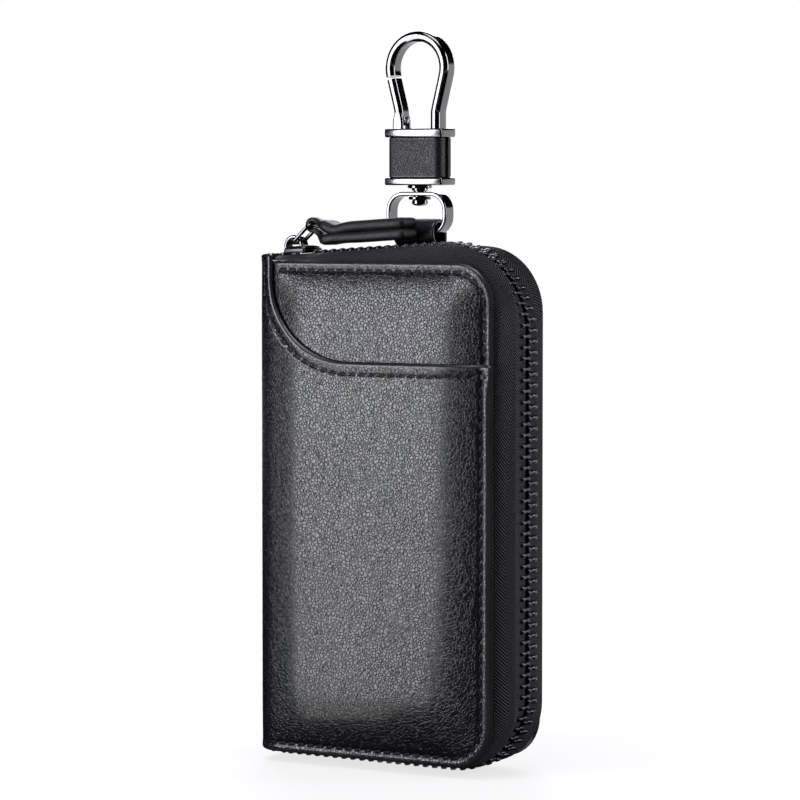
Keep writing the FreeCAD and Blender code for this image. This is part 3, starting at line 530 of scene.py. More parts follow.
def leather_grain():
    """Pebbled grain: creases between cells, pores, soft folds and slow unevenness."""
    group, given, wanted = new_group("leather_grain", {"Scale": 900.0, "Fold": 0.35},
                                     ("Height", "Crease", "Mottle"))
    place = node(group, "TexCoord").outputs["Object"]
    warp = noise(group, place, scale=420.0, detail=3.0, wanted="Color")
    shift = node(group, "VectorMath", {0: warp, "Scale": CELL_WARP}, operation="SCALE").outputs[0]
    bent = node(group, "VectorMath", {0: place, 1: shift}, operation="ADD").outputs[0]
    cells = node(group, "TexVoronoi", {"Vector": bent, "Scale": given["Scale"]},
                 feature="DISTANCE_TO_EDGE").outputs["Distance"]
    crease = map_range(group, cells, 0.0, CREASE_WIDTH, 1.0, 0.0, interpolation_type="SMOOTHSTEP")
    pores = noise(group, bent, times(group, given["Scale"], PORE_SCALE), detail=4.0, roughness=0.6)
    stretched = node(group, "Mapping", {"Vector": place, "Scale": FOLD_STRETCH}).outputs[0]
    folds = noise(group, stretched, times(group, given["Scale"], FOLD_SCALE), detail=2.0)
    height = plus(group, times(group, pores, PORE_HEIGHT), times(group, crease, CREASE_HEIGHT))
    height = plus(group, height, times(group, folds, given["Fold"]))
    group.links.new(height, wanted["Height"])
    group.links.new(crease, wanted["Crease"])
    group.links.new(noise(group, place, scale=45.0, detail=3.0), wanted["Mottle"])
    return group


# Weave: yarns per millimetre across the ribs, and how much they and the yarn's noise add to the ribs' height
CROSS_YARNS, CROSS_HEIGHT, YARN_HEIGHT = 2.0, 0.18, 0.5


def cloth_weave():
    """Herringbone ribs from the weave map, in which one unit is one millimetre, broken by yarn noise."""
    group, given, wanted = new_group("cloth_weave", {"Ribs": 1.1, "Slant": 1.0, "Stripe": 4.0},
                                     ("Height", "Rib_light_and_yarn_tone"))
    flat = node(group, "UVMap", uv_map="weave").outputs["UV"]
    parts = node(group, "SeparateXYZ", {0: flat}).outputs
    stripe = math_node(group, "PINGPONG", parts["Y"], given["Stripe"])
    slanted = plus(group, parts["X"], times(group, stripe, given["Slant"]))
    turn = times(group, times(group, slanted, given["Ribs"]), 2.0 * math.pi)
    rib = map_range(group, math_node(group, "SINE", turn), -1.0, 1.0, 0.0, 1.0)
    cross = math_node(group, "SINE", times(group, parts["Y"], CROSS_YARNS * 2.0 * math.pi))
    yarn = noise(group, flat, scale=6.0, detail=3.0)
    height = plus(group, rib, times(group, cross, CROSS_HEIGHT))
    height = plus(group, height, times(group, yarn, YARN_HEIGHT))
    group.links.new(height, wanted["Height"])
    # The colour mask: painted light on the ribs' tops and painted shade between them, times the yarns' random
    # tone
    group.links.new(times(group, rib, yarn), wanted["Rib_light_and_yarn_tone"])
    return group


# Shares of smears and scratches in the roughness of metal, and the scale of the long thin scratches
SMEAR_SHARE, SCRATCH_SHARE = 0.7, 0.3
SCRATCH_SCALE = (400.0, 400.0, 5200.0)


def metal_wear():
    """Polish marks: slow smears and fine scratches for the roughness, and a little tarnish."""
    group, given, wanted = new_group("metal_wear", {"Low": 0.12, "High": 0.3},
                                     ("Roughness", "Tarnish", "Height"))
    place = node(group, "TexCoord").outputs["Object"]
    smear = noise(group, place, scale=160.0, detail=4.0)
    thin = node(group, "Mapping", {"Vector": place, "Scale": SCRATCH_SCALE}).outputs[0]
    scratch = noise(group, thin, scale=1.0, detail=2.0)
    both = plus(group, times(group, smear, SMEAR_SHARE), times(group, scratch, SCRATCH_SHARE))
    rough = map_range(group, both, *NOISE_RANGE, given["Low"], given["High"])
    group.links.new(rough, wanted["Roughness"])
    group.links.new(smear, wanted["Tarnish"])
    group.links.new(scratch, wanted["Height"])
    return group


def placed_group(tree, name, build, values):
    """A shared node group, built at its first use, placed in a material."""
    made = tree.nodes.new("ShaderNodeGroup")
    made.node_tree = bpy.data.node_groups.get(name) or build()
    for label, value in values.items():
        made.inputs[label].default_value = value
    return made.outputs


def new_material(name, inputs):
    """A material with a Principled shader, its tree and that shader."""
    material = bpy.data.materials.new(name)
    material.use_nodes = True
    tree = material.node_tree
    shader = tree.nodes["Principled BSDF"]
    for label, value in inputs.items():
        shader.inputs[label].default_value = value
    return material, tree, shader


def opaque(rgb, brighter=1.0):
    """A colour with an alpha of 1, made brighter or darker."""
    return (*[min(1.0, c * brighter) for c in rgb], 1.0)


def tinted(tree, shader, mask, rgb, darkest, palest):
    """Base colour that a mask takes from a darkest to a palest share of one colour."""
    blend = node(tree, "MixRGB", {"Fac": mask, "Color1": opaque(rgb, darkest), "Color2": opaque(rgb, palest)})
    tree.links.new(blend.outputs["Color"], shader.inputs["Base Color"])


def roughened(tree, shader, value):
    tree.links.new(value, shader.inputs["Roughness"])


def bumped(tree, shader, height, depth):
    """Bump of a depth in millimetres."""
    bump = node(tree, "Bump", {"Height": height, "Distance": depth * MM, "Strength": 1.0})
    tree.links.new(bump.outputs["Normal"], shader.inputs["Normal"])


# In its creases leather keeps this share of its shine and is rougher by so much
CREASE_SHINE, CREASE_ROUGH = 0.6, 0.08


def leather_material(name, rgb, scale, depth, smoothest, roughest, shine, fold=0.35):
    """Grained leather, duller in its creases."""
    material, tree, shader = new_material(name, {})
    grain = placed_group(tree, "leather_grain", leather_grain, {"Scale": scale, "Fold": fold})
    gloss = map_range(tree, grain["Crease"], 0.0, 1.0, shine, shine * CREASE_SHINE)
    tree.links.new(gloss, shader.inputs["Specular IOR Level"])
    tinted(tree, shader, grain["Mottle"], rgb, darkest=0.75, palest=1.3)
    roughened(tree, shader, plus(tree, map_range(tree, grain["Mottle"], *NOISE_RANGE, smoothest, roughest),
                                 times(tree, grain["Crease"], CREASE_ROUGH)))
    bumped(tree, shader, grain["Height"], depth)
    return material


def paint_material(name, rgb):
    """Glossy edge paint with a slightly uneven film."""
    material, tree, shader = new_material(name, {"Coat Weight": 0.3, "Coat Roughness": 0.2})
    film = placed_group(tree, "leather_grain", leather_grain, {"Scale": 500.0, "Fold": 0.8})
    tinted(tree, shader, film["Mottle"], rgb, darkest=0.8, palest=1.4)
    roughened(tree, shader, map_range(tree, film["Mottle"], *NOISE_RANGE, 0.24, 0.38))
    bumped(tree, shader, film["Height"], depth=0.05)
    return material


def thread_material(name, rgb):
    """Twisted thread, shown by slanting bands that are paler on their ridges and darker in their grooves:
    painted light and shade.
    """
    material, tree, shader = new_material(name, {"Specular IOR Level": 0.4})
    place = node(tree, "TexCoord").outputs["Object"]
    lay = node(tree, "TexWave", {"Vector": place, "Scale": 900.0, "Distortion": 2.0, "Detail": 1.0},
               bands_direction="DIAGONAL").outputs["Fac"]
    # Paler on the twist's ridges and darker in its grooves: painted light and painted shade
    tinted(tree, shader, lay, rgb, darkest=0.6, palest=1.6)
    roughened(tree, shader, map_range(tree, lay, 0.0, 1.0, 0.52, 0.4))
    bumped(tree, shader, lay, depth=0.06)
    return material


def cloth_material(name, rgb, ribs, slant, depth):
    """Ribbed cloth, smoother and shinier on its ribs, with painted light on the ribs and painted shade between
    them.
    """
    material, tree, shader = new_material(name, {"Sheen Weight": 0.04, "Sheen Roughness": 0.5})
    weave = placed_group(tree, "cloth_weave", cloth_weave, {"Ribs": ribs, "Slant": slant})
    # Colour from 0.15 to 6 times the cloth's own: painted highlights on the ribs and painted shade between them
    tinted(tree, shader, weave["Rib_light_and_yarn_tone"], rgb, darkest=0.15, palest=6.0)
    roughened(tree, shader, map_range(tree, weave["Rib_light_and_yarn_tone"], 0.0, 0.7, 0.8, 0.5))
    gloss = map_range(tree, weave["Rib_light_and_yarn_tone"], 0.15, 0.6, 0.0, 1.0)
    tree.links.new(gloss, shader.inputs["Specular IOR Level"])
    bumped(tree, shader, weave["Height"], depth)
    return material


def metal_material(name, rgb, smoothest, roughest, tarnish=0.7):
    """Polished metal with smears, fine scratches and a little tarnish."""
    material, tree, shader = new_material(name, {"Metallic": 1.0})
    wear = placed_group(tree, "metal_wear", metal_wear, {"Low": smoothest, "High": roughest})
    tinted(tree, shader, wear["Tarnish"], rgb, darkest=tarnish, palest=1.1)
    roughened(tree, shader, wear["Roughness"])
    bumped(tree, shader, wear["Height"], depth=0.006)
    return material


def foam_material(name, rgb):
    """Fine open foam, darker in its pits: painted shade."""
    material, tree, shader = new_material(name, {"Specular IOR Level": 0.2})
    place = node(tree, "TexCoord").outputs["Object"]
    cells = node(tree, "TexVoronoi", {"Vector": place, "Scale": 1800.0}).outputs["Distance"]
    # Darker in the cells' pits, where the bump is lowest: painted shade
    tinted(tree, shader, cells, rgb, darkest=0.7, palest=1.3)
    roughened(tree, shader, map_range(tree, cells, 0.0, 1.0, 0.85, 0.95))
    bumped(tree, shader, cells, depth=0.1)
    return material


def finish(name):
    """A material of the case, made at its first use."""
    label = "case_" + name
    made = bpy.data.materials.get(label)
    if made:
        return made
    rgb = bpy.context.scene.key_case.finish
    makers = {
        "leather": lambda: leather_material(label, rgb.leather, scale=1350.0, depth=0.055, smoothest=0.16,
                                            roughest=0.2, shine=0.58, fold=0.55),
        "trim_leather": lambda: leather_material(label, rgb.leather, scale=1700.0, depth=0.035, smoothest=0.4,
                                                 roughest=0.5, shine=0.45),
        "edge": lambda: paint_material(label, rgb.edge),
        "thread": lambda: thread_material(label, rgb.thread),
        "tape": lambda: cloth_material(label, rgb.tape, ribs=1.3, slant=1.2, depth=0.24),
        "lining": lambda: cloth_material(label, rgb.lining, ribs=1.6, slant=0.0, depth=0.05),
        "gunmetal": lambda: metal_material(label, rgb.gunmetal, smoothest=0.07, roughest=0.16),
        "zip_metal": lambda: metal_material(label, rgb.zip_metal, smoothest=0.26, roughest=0.4, tarnish=0.6),
        "steel": lambda: metal_material(label, rgb.steel, smoothest=0.18, roughest=0.32),
        "foam": lambda: foam_material(label, rgb.foam),
    }
    return makers[name]()


# Leather panels


def bend_x(cut):
    """Where a panel's flat face ends and its turn to the spine starts."""
    return -HALF_WIDTH + cut.bend


def hinge_u(cut):
    """Where a panel laid flat ends at the spine."""
    return bend_x(cut) - cut.bend * math.pi / 2


# Points of a panel's free corners and of the pocket's curve, and the longest run along an outline
CORNER_STEPS, CURVE_STEPS, OUTLINE_STEP = 12, 24, 1.0


def panel_outline(cut):
    """Outline of a panel laid flat, counter-clockwise from its lower end at the spine."""
    left, right, foot, turn = hinge_u(cut), HALF_WIDTH, -PANEL_HEIGHT, cut.corner
    points = [(left, foot)]
    points += arc((right - turn, foot + turn), turn, -90, 0, CORNER_STEPS)
    points += arc((right - turn, -turn), turn, 0, 90, CORNER_STEPS)
    return divide(points + [(left, 0.0)], OUTLINE_STEP)


def pocket_edge(cut, inside_by=0.0):
    """The pocket's upper edge from the panel's right side to its top, or a line inside it."""
    side = bend_x(cut) - cut.bend + cut.pocket_side
    middle = (side + cut.pocket_curve, cut.pocket_curve - cut.pocket_drop)
    curve = arc(middle, cut.pocket_curve + inside_by, -90, -180, CURVE_STEPS)
    return [(HALF_WIDTH, -cut.pocket_drop - inside_by)] + curve + [(side - inside_by, 0.0)]


# The pocket's free corner stands past the panel, from a start to an end below the pocket's edge
LIP, LIP_START, LIP_END, LIP_TURN = 0.7, 7.0, 1.5, 1.2
# Radius of the corners at the top of the pocket's upright band
BAND_TURN = 1.2


def pocket_outline(cut):
    """Outline of the pocket leather laid flat; its free corner stands a little past the panel."""
    left, right, foot, turn = hinge_u(cut), HALF_WIDTH, -PANEL_HEIGHT, cut.corner
    edge, top = -cut.pocket_drop, cut.pocket_roll
    points = [(left, foot)] + arc((right - turn, foot + turn), turn, -90, 0, CORNER_STEPS)
    points += [(right, edge - LIP_START), (right + LIP, edge - LIP_END)]
    points += arc((right + LIP - LIP_TURN, edge - LIP_TURN), LIP_TURN, 0, 90, steps=4)
    points += pocket_edge(cut)[1:]
    points += arc((points[-1][0] - BAND_TURN, top - BAND_TURN), BAND_TURN, 0, 90, steps=5)
    points += arc((left + BAND_TURN, top - BAND_TURN), BAND_TURN, 90, 180, steps=5)
    return divide(points, OUTLINE_STEP)


# From the pocket's upright band to the start of a panel's seam, and from its end to the spine
SEAM_START, SEAM_END = 1.6, 7.0


def panel_seam(cut, stitch):
    """The seam along a panel's top, right side and foot."""
    by, turn = stitch.inset, cut.corner - stitch.inset
    right, foot = HALF_WIDTH - by, -PANEL_HEIGHT + by
    start = bend_x(cut) - cut.bend + cut.pocket_side + SEAM_START
    points = [(start, -by)] + arc((right - turn, -by - turn), turn, 90, 0, CORNER_STEPS)
    points += arc((right - turn, foot + turn), turn, 0, -90, CORNER_STEPS)
    points.append((hinge_u(cut) + SEAM_END, foot))
    return divide(points, OUTLINE_STEP, closed=False)


def beside(line, by):
    """A line in a plane moved to its left."""
    line = np.asarray(line, float)
    along = np.gradient(line, axis=0)
    along /= np.linalg.norm(along, axis=1)[:, None]
    return line + np.stack([-along[:, 1], along[:, 0]], axis=1) * by


# Where mesh rows lie beside a seam, and the spacing of their points
SEAM_ROWS, ROW_STEP = (-1.5, -1.0, -0.6, -0.3, 0.0, 0.3, 0.6, 1.1), 0.55


def seam_rows(seams):
    """Mesh rows on and beside the seams, close enough to hold their grooves."""
    return [beside(resample(seam, ROW_STEP), by) for seam in seams for by in SEAM_ROWS]


# How steeply the padding comes up from a seam
SWELL_POWER = 2.3
# The padding comes up beside the spine from this share of the bend to so far past it
BEND_SHARE, BEND_RUN = 0.75, 9.0
# Half width of a seam's groove, and the share of its depth that is lost within a reach of each needle hole
GROOVE_REACH, NEEDLE_REACH, NEEDLE_SHARE = 0.36, 0.45, 0.8
# The rolled rim falls between these distances outside the seam
RIM_FALL = (0.7, 0.2)
# Threads above the leather follow its grooves up to this share
MOST_SEWN = 1.3


def panel_place(cut, stitch, side, rise, seams, rim, under=0.0):
    """How a panel laid flat is padded, sewn down and turned round to the spine.
    Under is the thickness of what lies on top of it."""
    start, hinge_y = bend_x(cut), cut.half_depth - cut.bend
    turned = cut.bend * math.pi / 2
    needles = np.concatenate([resample(line, stitch.pitch) for line in seams])
    falls_from, falls_to = [stitch.inset - away for away in RIM_FALL]

    def swell(away):
        return 1.0 - (1.0 - np.clip((away - stitch.inset) / cut.swell, 0.0, 1.0)) ** SWELL_POWER

    def place(flat, depth):
        flat = np.asarray(flat, float)
        u, v = flat[:, 0], flat[:, 1]
        pillow = rise * swell(HALF_WIDTH - u) * swell(-v) * swell(PANEL_HEIGHT + v)
        pillow = pillow * smooth(start - turned * BEND_SHARE, start + BEND_RUN, u)
        seam = np.min([distance_to(flat, line) for line in seams], axis=0)
        edge = distance_to(flat, rim, closed=True)
        needle = np.min([np.linalg.norm(flat - spot, axis=1) for spot in needles], axis=0)
        pulled = stitch.groove * (1.0 - NEEDLE_SHARE * np.exp(-(needle / NEEDLE_REACH) ** 2))
        sewn = (cut.welt * (1.0 - smooth(falls_from, falls_to, edge))
                - pulled * np.exp(-(seam / GROOVE_REACH) ** 2))
        out = pillow + sewn * np.clip(1.0 - depth / cut.thickness, 0.0, MOST_SEWN) - depth - under
        turn = np.clip((start - u) / turned, 0.0, 1.0) * math.pi / 2
        radius = cut.bend + out
        x = np.maximum(u, start) - radius * np.sin(turn)
        return np.stack([x, side * (hinge_y + radius * np.cos(turn)), v], axis=1)

    return place


STITCH_SIDES = 8
# Where along a stitch its rings lie, how far each is sunk and how thick it is, as shares of run and thread
STITCH_RINGS = ((-0.5, 0.75, 0.45), (-0.42, 0.2, 0.9), (-0.2, -0.12, 1.0), (0.0, -0.18, 1.0),
                (0.2, -0.12, 1.0), (0.42, 0.2, 0.9), (0.5, 0.75, 0.45))
SLANT = math.radians(5.0)
# A short way up, which gives the direction out of the leather
UP_STEP = 0.2


def stitch_row(form, line, place, stitch):
    """Threads of a seam along a flat line, each dipping into the leather at its ends."""
    spots = resample(line, stitch.pitch)
    middles, along = (spots[:-1] + spots[1:]) / 2, np.diff(spots, axis=0)
    along /= np.linalg.norm(along, axis=1)[:, None]
    lean = np.array([[math.cos(SLANT), -math.sin(SLANT)], [math.sin(SLANT), math.cos(SLANT)]])
    along = along @ lean.T
    flat = np.array([m + a * at * stitch.run for m, a in zip(middles, along) for at, _, _ in STITCH_RINGS])
    depth = np.array([sunk * stitch.thread for _ in middles for _, sunk, _ in STITCH_RINGS])
    spot = place(flat, depth)
    above = place(flat, depth - UP_STEP) - spot
    ring = circle(STITCH_SIDES)
    for s in range(len(middles)):
        rows = []
        own = slice(s * len(STITCH_RINGS), (s + 1) * len(STITCH_RINGS))
        points, ups = spot[own], above[own]
        for i, (_, _, thick) in enumerate(STITCH_RINGS):
            forward = Vector(points[min(i + 1, len(points) - 1)] - points[max(i - 1, 0)]).normalized()
            up = Vector(ups[i]).normalized()
            across = forward.cross(up).normalized()
            radius = stitch.thread / 2 * thick
            middle = Vector(points[i])
            rows.append([middle + (across * math.cos(t) + up * math.sin(t)) * radius for t in ring])
        form.grid(rows)


def flat_place(origin, across, up, out):
    """Places flat points in a plane through origin; depth goes against out."""
    origin, across, up, out = [np.asarray(given, float) for given in (origin, across, up, out)]

    def place(flat, depth):
        flat, depth = np.asarray(flat, float), np.asarray(depth, float)
        return origin + flat[:, :1] * across + flat[:, 1:] * up - depth[:, None] * out

    return place


def rounded_box(low, high, turn, steps=6):
    """Outline of a rectangle with round corners, counter-clockwise."""
    (x0, z0), (x1, z1) = low, high
    points = arc((x1 - turn, z0 + turn), turn, -90, 0, steps)
    points += arc((x1 - turn, z1 - turn), turn, 0, 90, steps)
    points += arc((x0 + turn, z1 - turn), turn, 90, 180, steps)
    return points + arc((x0 + turn, z0 + turn), turn, 180, 270, steps)


# Inside pieces: longest run along an outline, spacing of the mesh and radius of the corners
INNER_STEP, SHEET_MESH, FOAM_MESH = 1.5, 4.0, 3.0
LINING_TURN, PAD_TURN, INNER_POCKET_TURN = 6.0, 6.0, 3.0
# Gap between the padding and the leather over it
PAD_GAP = 0.1


def flat_sheet(name, node_name, body, materials, slot, turn, side):
    """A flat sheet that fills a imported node's box, such as a lining, facing the inside of the case."""
    low, high = corners(node_name)
    form = Form()
    outer = low.y if side == BACK else high.y
    place = flat_place((0.0, outer, 0.0), (1, 0, 0), (0, 0, 1), (0, -side, 0))
    outline = divide(rounded_box((low.x, low.z), (high.x, high.z), turn), INNER_STEP)
    sheet(form, outline, high.y - low.y, place, SHEET_MESH, edge_mark=len(materials) - 1)
    return form.piece(name, body, materials, [node_name], slot, EYE)


def lining(name, side):
    """A panel's lining cloth, glued flat to the padding behind it."""
    piece = flat_sheet(f"{name}_lining_cloth", f"{name}_lining", f"{name}_half", [finish("lining")], "lining",
                       LINING_TURN, side)


def padding(name, side, cut, leather):
    """Foam between a panel's leather and its lining."""
    low, high = corners(f"{name}_padding")
    foot = (low.y if side == BACK else high.y) - CASE.y

    def place(flat, depth):
        under = leather(flat, np.full(len(flat), cut.thickness + PAD_GAP))
        under[:, 1] = under[:, 1] + (foot - under[:, 1]) * np.asarray(depth, float)
        return under

    outline = rounded_box((low.x - CASE.x, low.z - CASE.z), (high.x - CASE.x, high.z - CASE.z), PAD_TURN)
    form = Form()
    sheet(form, divide(outline, INNER_STEP), 1.0, place, FOAM_MESH, edge_mark=0)
    pad = form.piece(f"{name}_padding_foam", f"{name}_half", [finish("foam")], [f"{name}_padding"], "foam")


def leather_finish():
    """Panel leather and its painted edge."""
    return [finish("leather"), finish("edge")]


def trim_finish():
    """Smoother leather of the small pieces and its painted edge."""
    return [finish("trim_leather"), finish("edge")]


# How far the panel's stitches keep from the pocket's edge above it and from the pocket's seam below it
CLEAR_ABOVE, CLEAR_BELOW = 1.6, 1.2


class KEYCASE_OT_front(bpy.types.Operator):
    """Make the front panel: base leather, slip pocket, seams, padding and lining"""
    bl_idname = "keycase.front"
    bl_label = "Front panel"

    def execute(self, context):
        case = context.scene.key_case
        cut, stitch = in_mm(case.leather), in_mm(case.stitch)
        seam = panel_seam(cut, stitch)
        edge_seam = divide(pocket_edge(cut, stitch.pocket_inset)[:-1], OUTLINE_STEP, closed=False)
        base_rim, pocket_rim = panel_outline(cut), pocket_outline(cut)
        seams = (seam, edge_seam)
        base = panel_place(cut, stitch, FRONT, cut.front_rise, seams, base_rim, cut.thickness)
        pocket = panel_place(cut, stitch, FRONT, cut.front_rise, seams, pocket_rim)
        form = Form()
        sheet(form, base_rim, cut.thickness, base, cut.mesh, seam_rows([seam]))
        form.piece("front_cover_leather", "front_half", leather_finish(), ["front_cover"], "black_leather")
        form = Form()
        sheet(form, pocket_rim, cut.thickness, pocket, cut.mesh, seam_rows(seams))
        form.piece("front_pocket_leather", "front_half", leather_finish(), ["front_pocket"], "black_leather")
        above = [p for p in seam if p[1] > -cut.pocket_drop + CLEAR_ABOVE]
        below = [p for p in seam if p[1] < -cut.pocket_drop - stitch.pocket_inset - CLEAR_BELOW]
        form = Form()
        stitch_row(form, above, base, stitch)
        stitch_row(form, below, pocket, stitch)
        stitch_row(form, edge_seam[2:], pocket, stitch)
        form.piece("front_stitches", "front_half", [finish("thread")], slot="black_leather")
        padding("front", FRONT, cut, base)
        lining("front", FRONT)
        flat_sheet("inner_pocket_leather", "inner_pocket", "front_half", leather_finish(), "black_leather",
                   INNER_POCKET_TURN, FRONT)
        return {"FINISHED"}


class KEYCASE_OT_back(bpy.types.Operator):
    """Make the back panel: leather, seam, padding and lining"""
    bl_idname = "keycase.back"
    bl_label = "Back panel"

    def execute(self, context):
        case = context.scene.key_case
        cut, stitch = in_mm(case.leather), in_mm(case.stitch)
        seam, rim = panel_seam(cut, stitch), panel_outline(cut)
        place = panel_place(cut, stitch, BACK, cut.back_rise, (seam,), rim)
        form = Form()
        sheet(form, rim, cut.thickness, place, cut.mesh, seam_rows([seam]))
        form.piece("back_cover_leather", "back_half", leather_finish(), ["back_cover"], "black_leather")
        form = Form()
        stitch_row(form, seam, place, stitch)
        form.piece("back_stitches", "back_half", [finish("thread")], slot="black_leather")
        padding("back", BACK, cut, place)
        lining("back", BACK)
        return {"FINISHED"}


class KEYCASE_OT_spine(bpy.types.Operator):
    """Make the spine strip and its lining"""
    bl_idname = "keycase.spine"
    bl_label = "Spine"

    def execute(self, context):
        self.strip("spine_strip", "spine_leather", leather_finish(), "black_leather", turn=1.2,
                   step=OUTLINE_STEP, spacing=1.5)
        self.strip("spine_lining_cloth", "spine_lining", [finish("lining")], "lining", turn=0.8,
                   step=INNER_STEP, spacing=3.0)
        return {"FINISHED"}

    def strip(self, name, node_name, materials, slot, turn, step, spacing):
        """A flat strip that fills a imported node's box; step and spacing are those of its outline and mesh."""
        low, high = corners(node_name)
        place = flat_place((low.x, 0.0, 0.0), (0, 1, 0), (0, 0, 1), (-1, 0, 0))
        outline = divide(rounded_box((low.y, low.z), (high.y, high.z), turn), step)
        form = Form()
        sheet(form, outline, high.x - low.x, place, spacing, edge_mark=len(materials) - 1)
        form.piece(name, "spine", materials, [node_name], slot, EYE)


# Zip


def round_line(corners_in, runs, steps):
    """Points of an open line in a plane with its inner corners (x, z, radius) rounded.
    Runs counts the parts of each straight, and steps those of each corner."""
    spots = [Vector(c[:2]) for c in corners_in]
    found, start = [], spots[0]
    for i in range(1, len(spots)):
        last = i == len(spots) - 1
        end, bow = spots[i], []
        if not last:
            before, after = (start - end).normalized(), (spots[i + 1] - end).normalized()
            radius, half = corners_in[i][2], before.angle(after) / 2
            middle = end + (before + after).normalized() * (radius / math.sin(half))
            first, second = end + before * radius / math.tan(half), end + after * radius / math.tan(half)
            a = math.degrees(math.atan2(*reversed(first - middle)))
            b = math.degrees(math.atan2(*reversed(second - middle)))
            b += 360 * round((a - b) / 360)
            bow, end = arc(middle, radius, a, b, steps)[1:-1], first
        found += [tuple(start.lerp(end, k / runs[i - 1])) for k in range(runs[i - 1] + 1)] + bow
        start = second if not last else end
    return found


def gusset_corners(zip_size, grow, start, side, top, end, foot, turn, foot_turn):
    """Corners of a line round the gusset, moved outward, from the top at the spine round to the foot."""
    left, right, low = -HALF_WIDTH + zip_size.start, HALF_WIDTH + side, -PANEL_HEIGHT
    share_in = (start - left) / (right - left)
    return [(start, end + share_in * (top - end) + grow), (right + grow, top + grow, turn + grow),
            (right + grow, low - foot - grow, foot_turn + grow),
            (start, low - end - share_in * (foot - end) - grow)]


def zip_corners(zip_size, grow, start):
    """The line on which the two rows of teeth meet."""
    return gusset_corners(zip_size, grow, start, zip_size.side, zip_size.top, zip_size.end, zip_size.foot,
                          zip_size.turn, zip_size.foot_turn)


def bend_corners(zip_size, grow, start):
    """The line on which a tape bends over to its panel."""
    return gusset_corners(zip_size, grow, start, zip_size.bend_side, zip_size.bend_top, zip_size.bend_end,
                          zip_size.bend_foot, zip_size.bend_turn, zip_size.bend_turn)


def seam_corners(cut, by, start):
    """Corners of the line on which a tape meets its panel."""
    right, low, radius = HALF_WIDTH - by, -PANEL_HEIGHT + by, max(cut.corner - by, 0.5)
    return [(start, -by), (right, -by, radius), (right, low, radius), (start, low)]


# Parts of the straights and corners of a tape, and of the finer line on which the teeth stand
TAPE_RUNS, TAPE_TURN = (36, 60, 36), 16
CHAIN_RUNS, CHAIN_TURN = (200, 300, 200), 60


def tape_line(points):
    """A line along a tape; all of them have the same number of points."""
    return np.array(round_line(points, TAPE_RUNS, TAPE_TURN))


def walk(line, distances):
    """Points and unit directions at distances along a line in a plane, and the line's length."""
    line = np.asarray(line, float)
    runs = np.linalg.norm(np.diff(line, axis=0), axis=1)
    total = np.concatenate([[0.0], np.cumsum(runs)])
    spots, ways = [], []
    for d in distances:
        i = int(np.clip(np.searchsorted(total, d, side="right") - 1, 0, len(runs) - 1))
        way = (line[i + 1] - line[i]) / runs[i]
        spots.append(line[i] + way * (d - total[i]))
        ways.append(way)
    return np.array(spots), np.array(ways), total[-1]


TOOTH_SIDES = 14
# How square a tooth's section is: 1 is round and 0 is square
TOOTH_ROUND = 0.55
# Along a tooth from its tape to its head: how far it has come, its width and its height, as shares
TOOTH_RINGS = ((-0.14, 0.9, 0.72), (-0.10, 1.12, 0.92), (0.10, 1.15, 1.0), (0.26, 1.1, 0.96),
               (0.38, 0.72, 0.8), (0.56, 0.72, 0.78), (0.68, 1.1, 0.86), (0.9, 1.12, 0.86),
               (0.97, 1.0, 0.74), (1.0, 0.7, 0.5))


def tooth(form, spot, way, side, zip_size, near, far):
    """One tooth of the chain: a clamp on the tape, a waist and a rounded head."""
    along, out = Vector((way[0], 0, way[1])), Vector((-way[1], 0, way[0]))
    middle, across = Vector((spot[0], 0, spot[1])), Vector((0, side, 0))
    rows = []
    for reach, wide, high in TOOTH_RINGS:
        y = near + (far - near) * reach
        ring = []
        for k in range(TOOTH_SIDES):
            t = 2 * math.pi * (k + 0.5) / TOOTH_SIDES
            c, s = math.cos(t), math.sin(t)
            x = math.copysign(abs(c) ** TOOTH_ROUND, c) * zip_size.tooth_width / 2 * wide
            z = math.copysign(abs(s) ** TOOTH_ROUND, s) * zip_size.tooth_height / 2 * high
            ring.append(middle + across * y + along * x + out * z)
        rows.append(ring)
    form.grid(rows)


# From the zip plane to the flange of each tape under its panel
FRONT_TAPE_DEPTH, BACK_TAPE_DEPTH = 9.9, 10.2
# Gap between a tape's end and the leather at the spine
TAPE_GAP = 0.4
# Where the corded edge is highest and how wide it is, as shares of the way to the tape's bend
CORD_AT, CORD_REACH = 0.15, 0.16
# Parts of a tape's section from its edge to the bend, and from there to the seam
EDGE_PARTS, BEND_PARTS = 4, 5
# Faces that meet at more than this many degrees get a sharp edge
TAPE_SHARP, TOOTH_SHARP = 55, 50


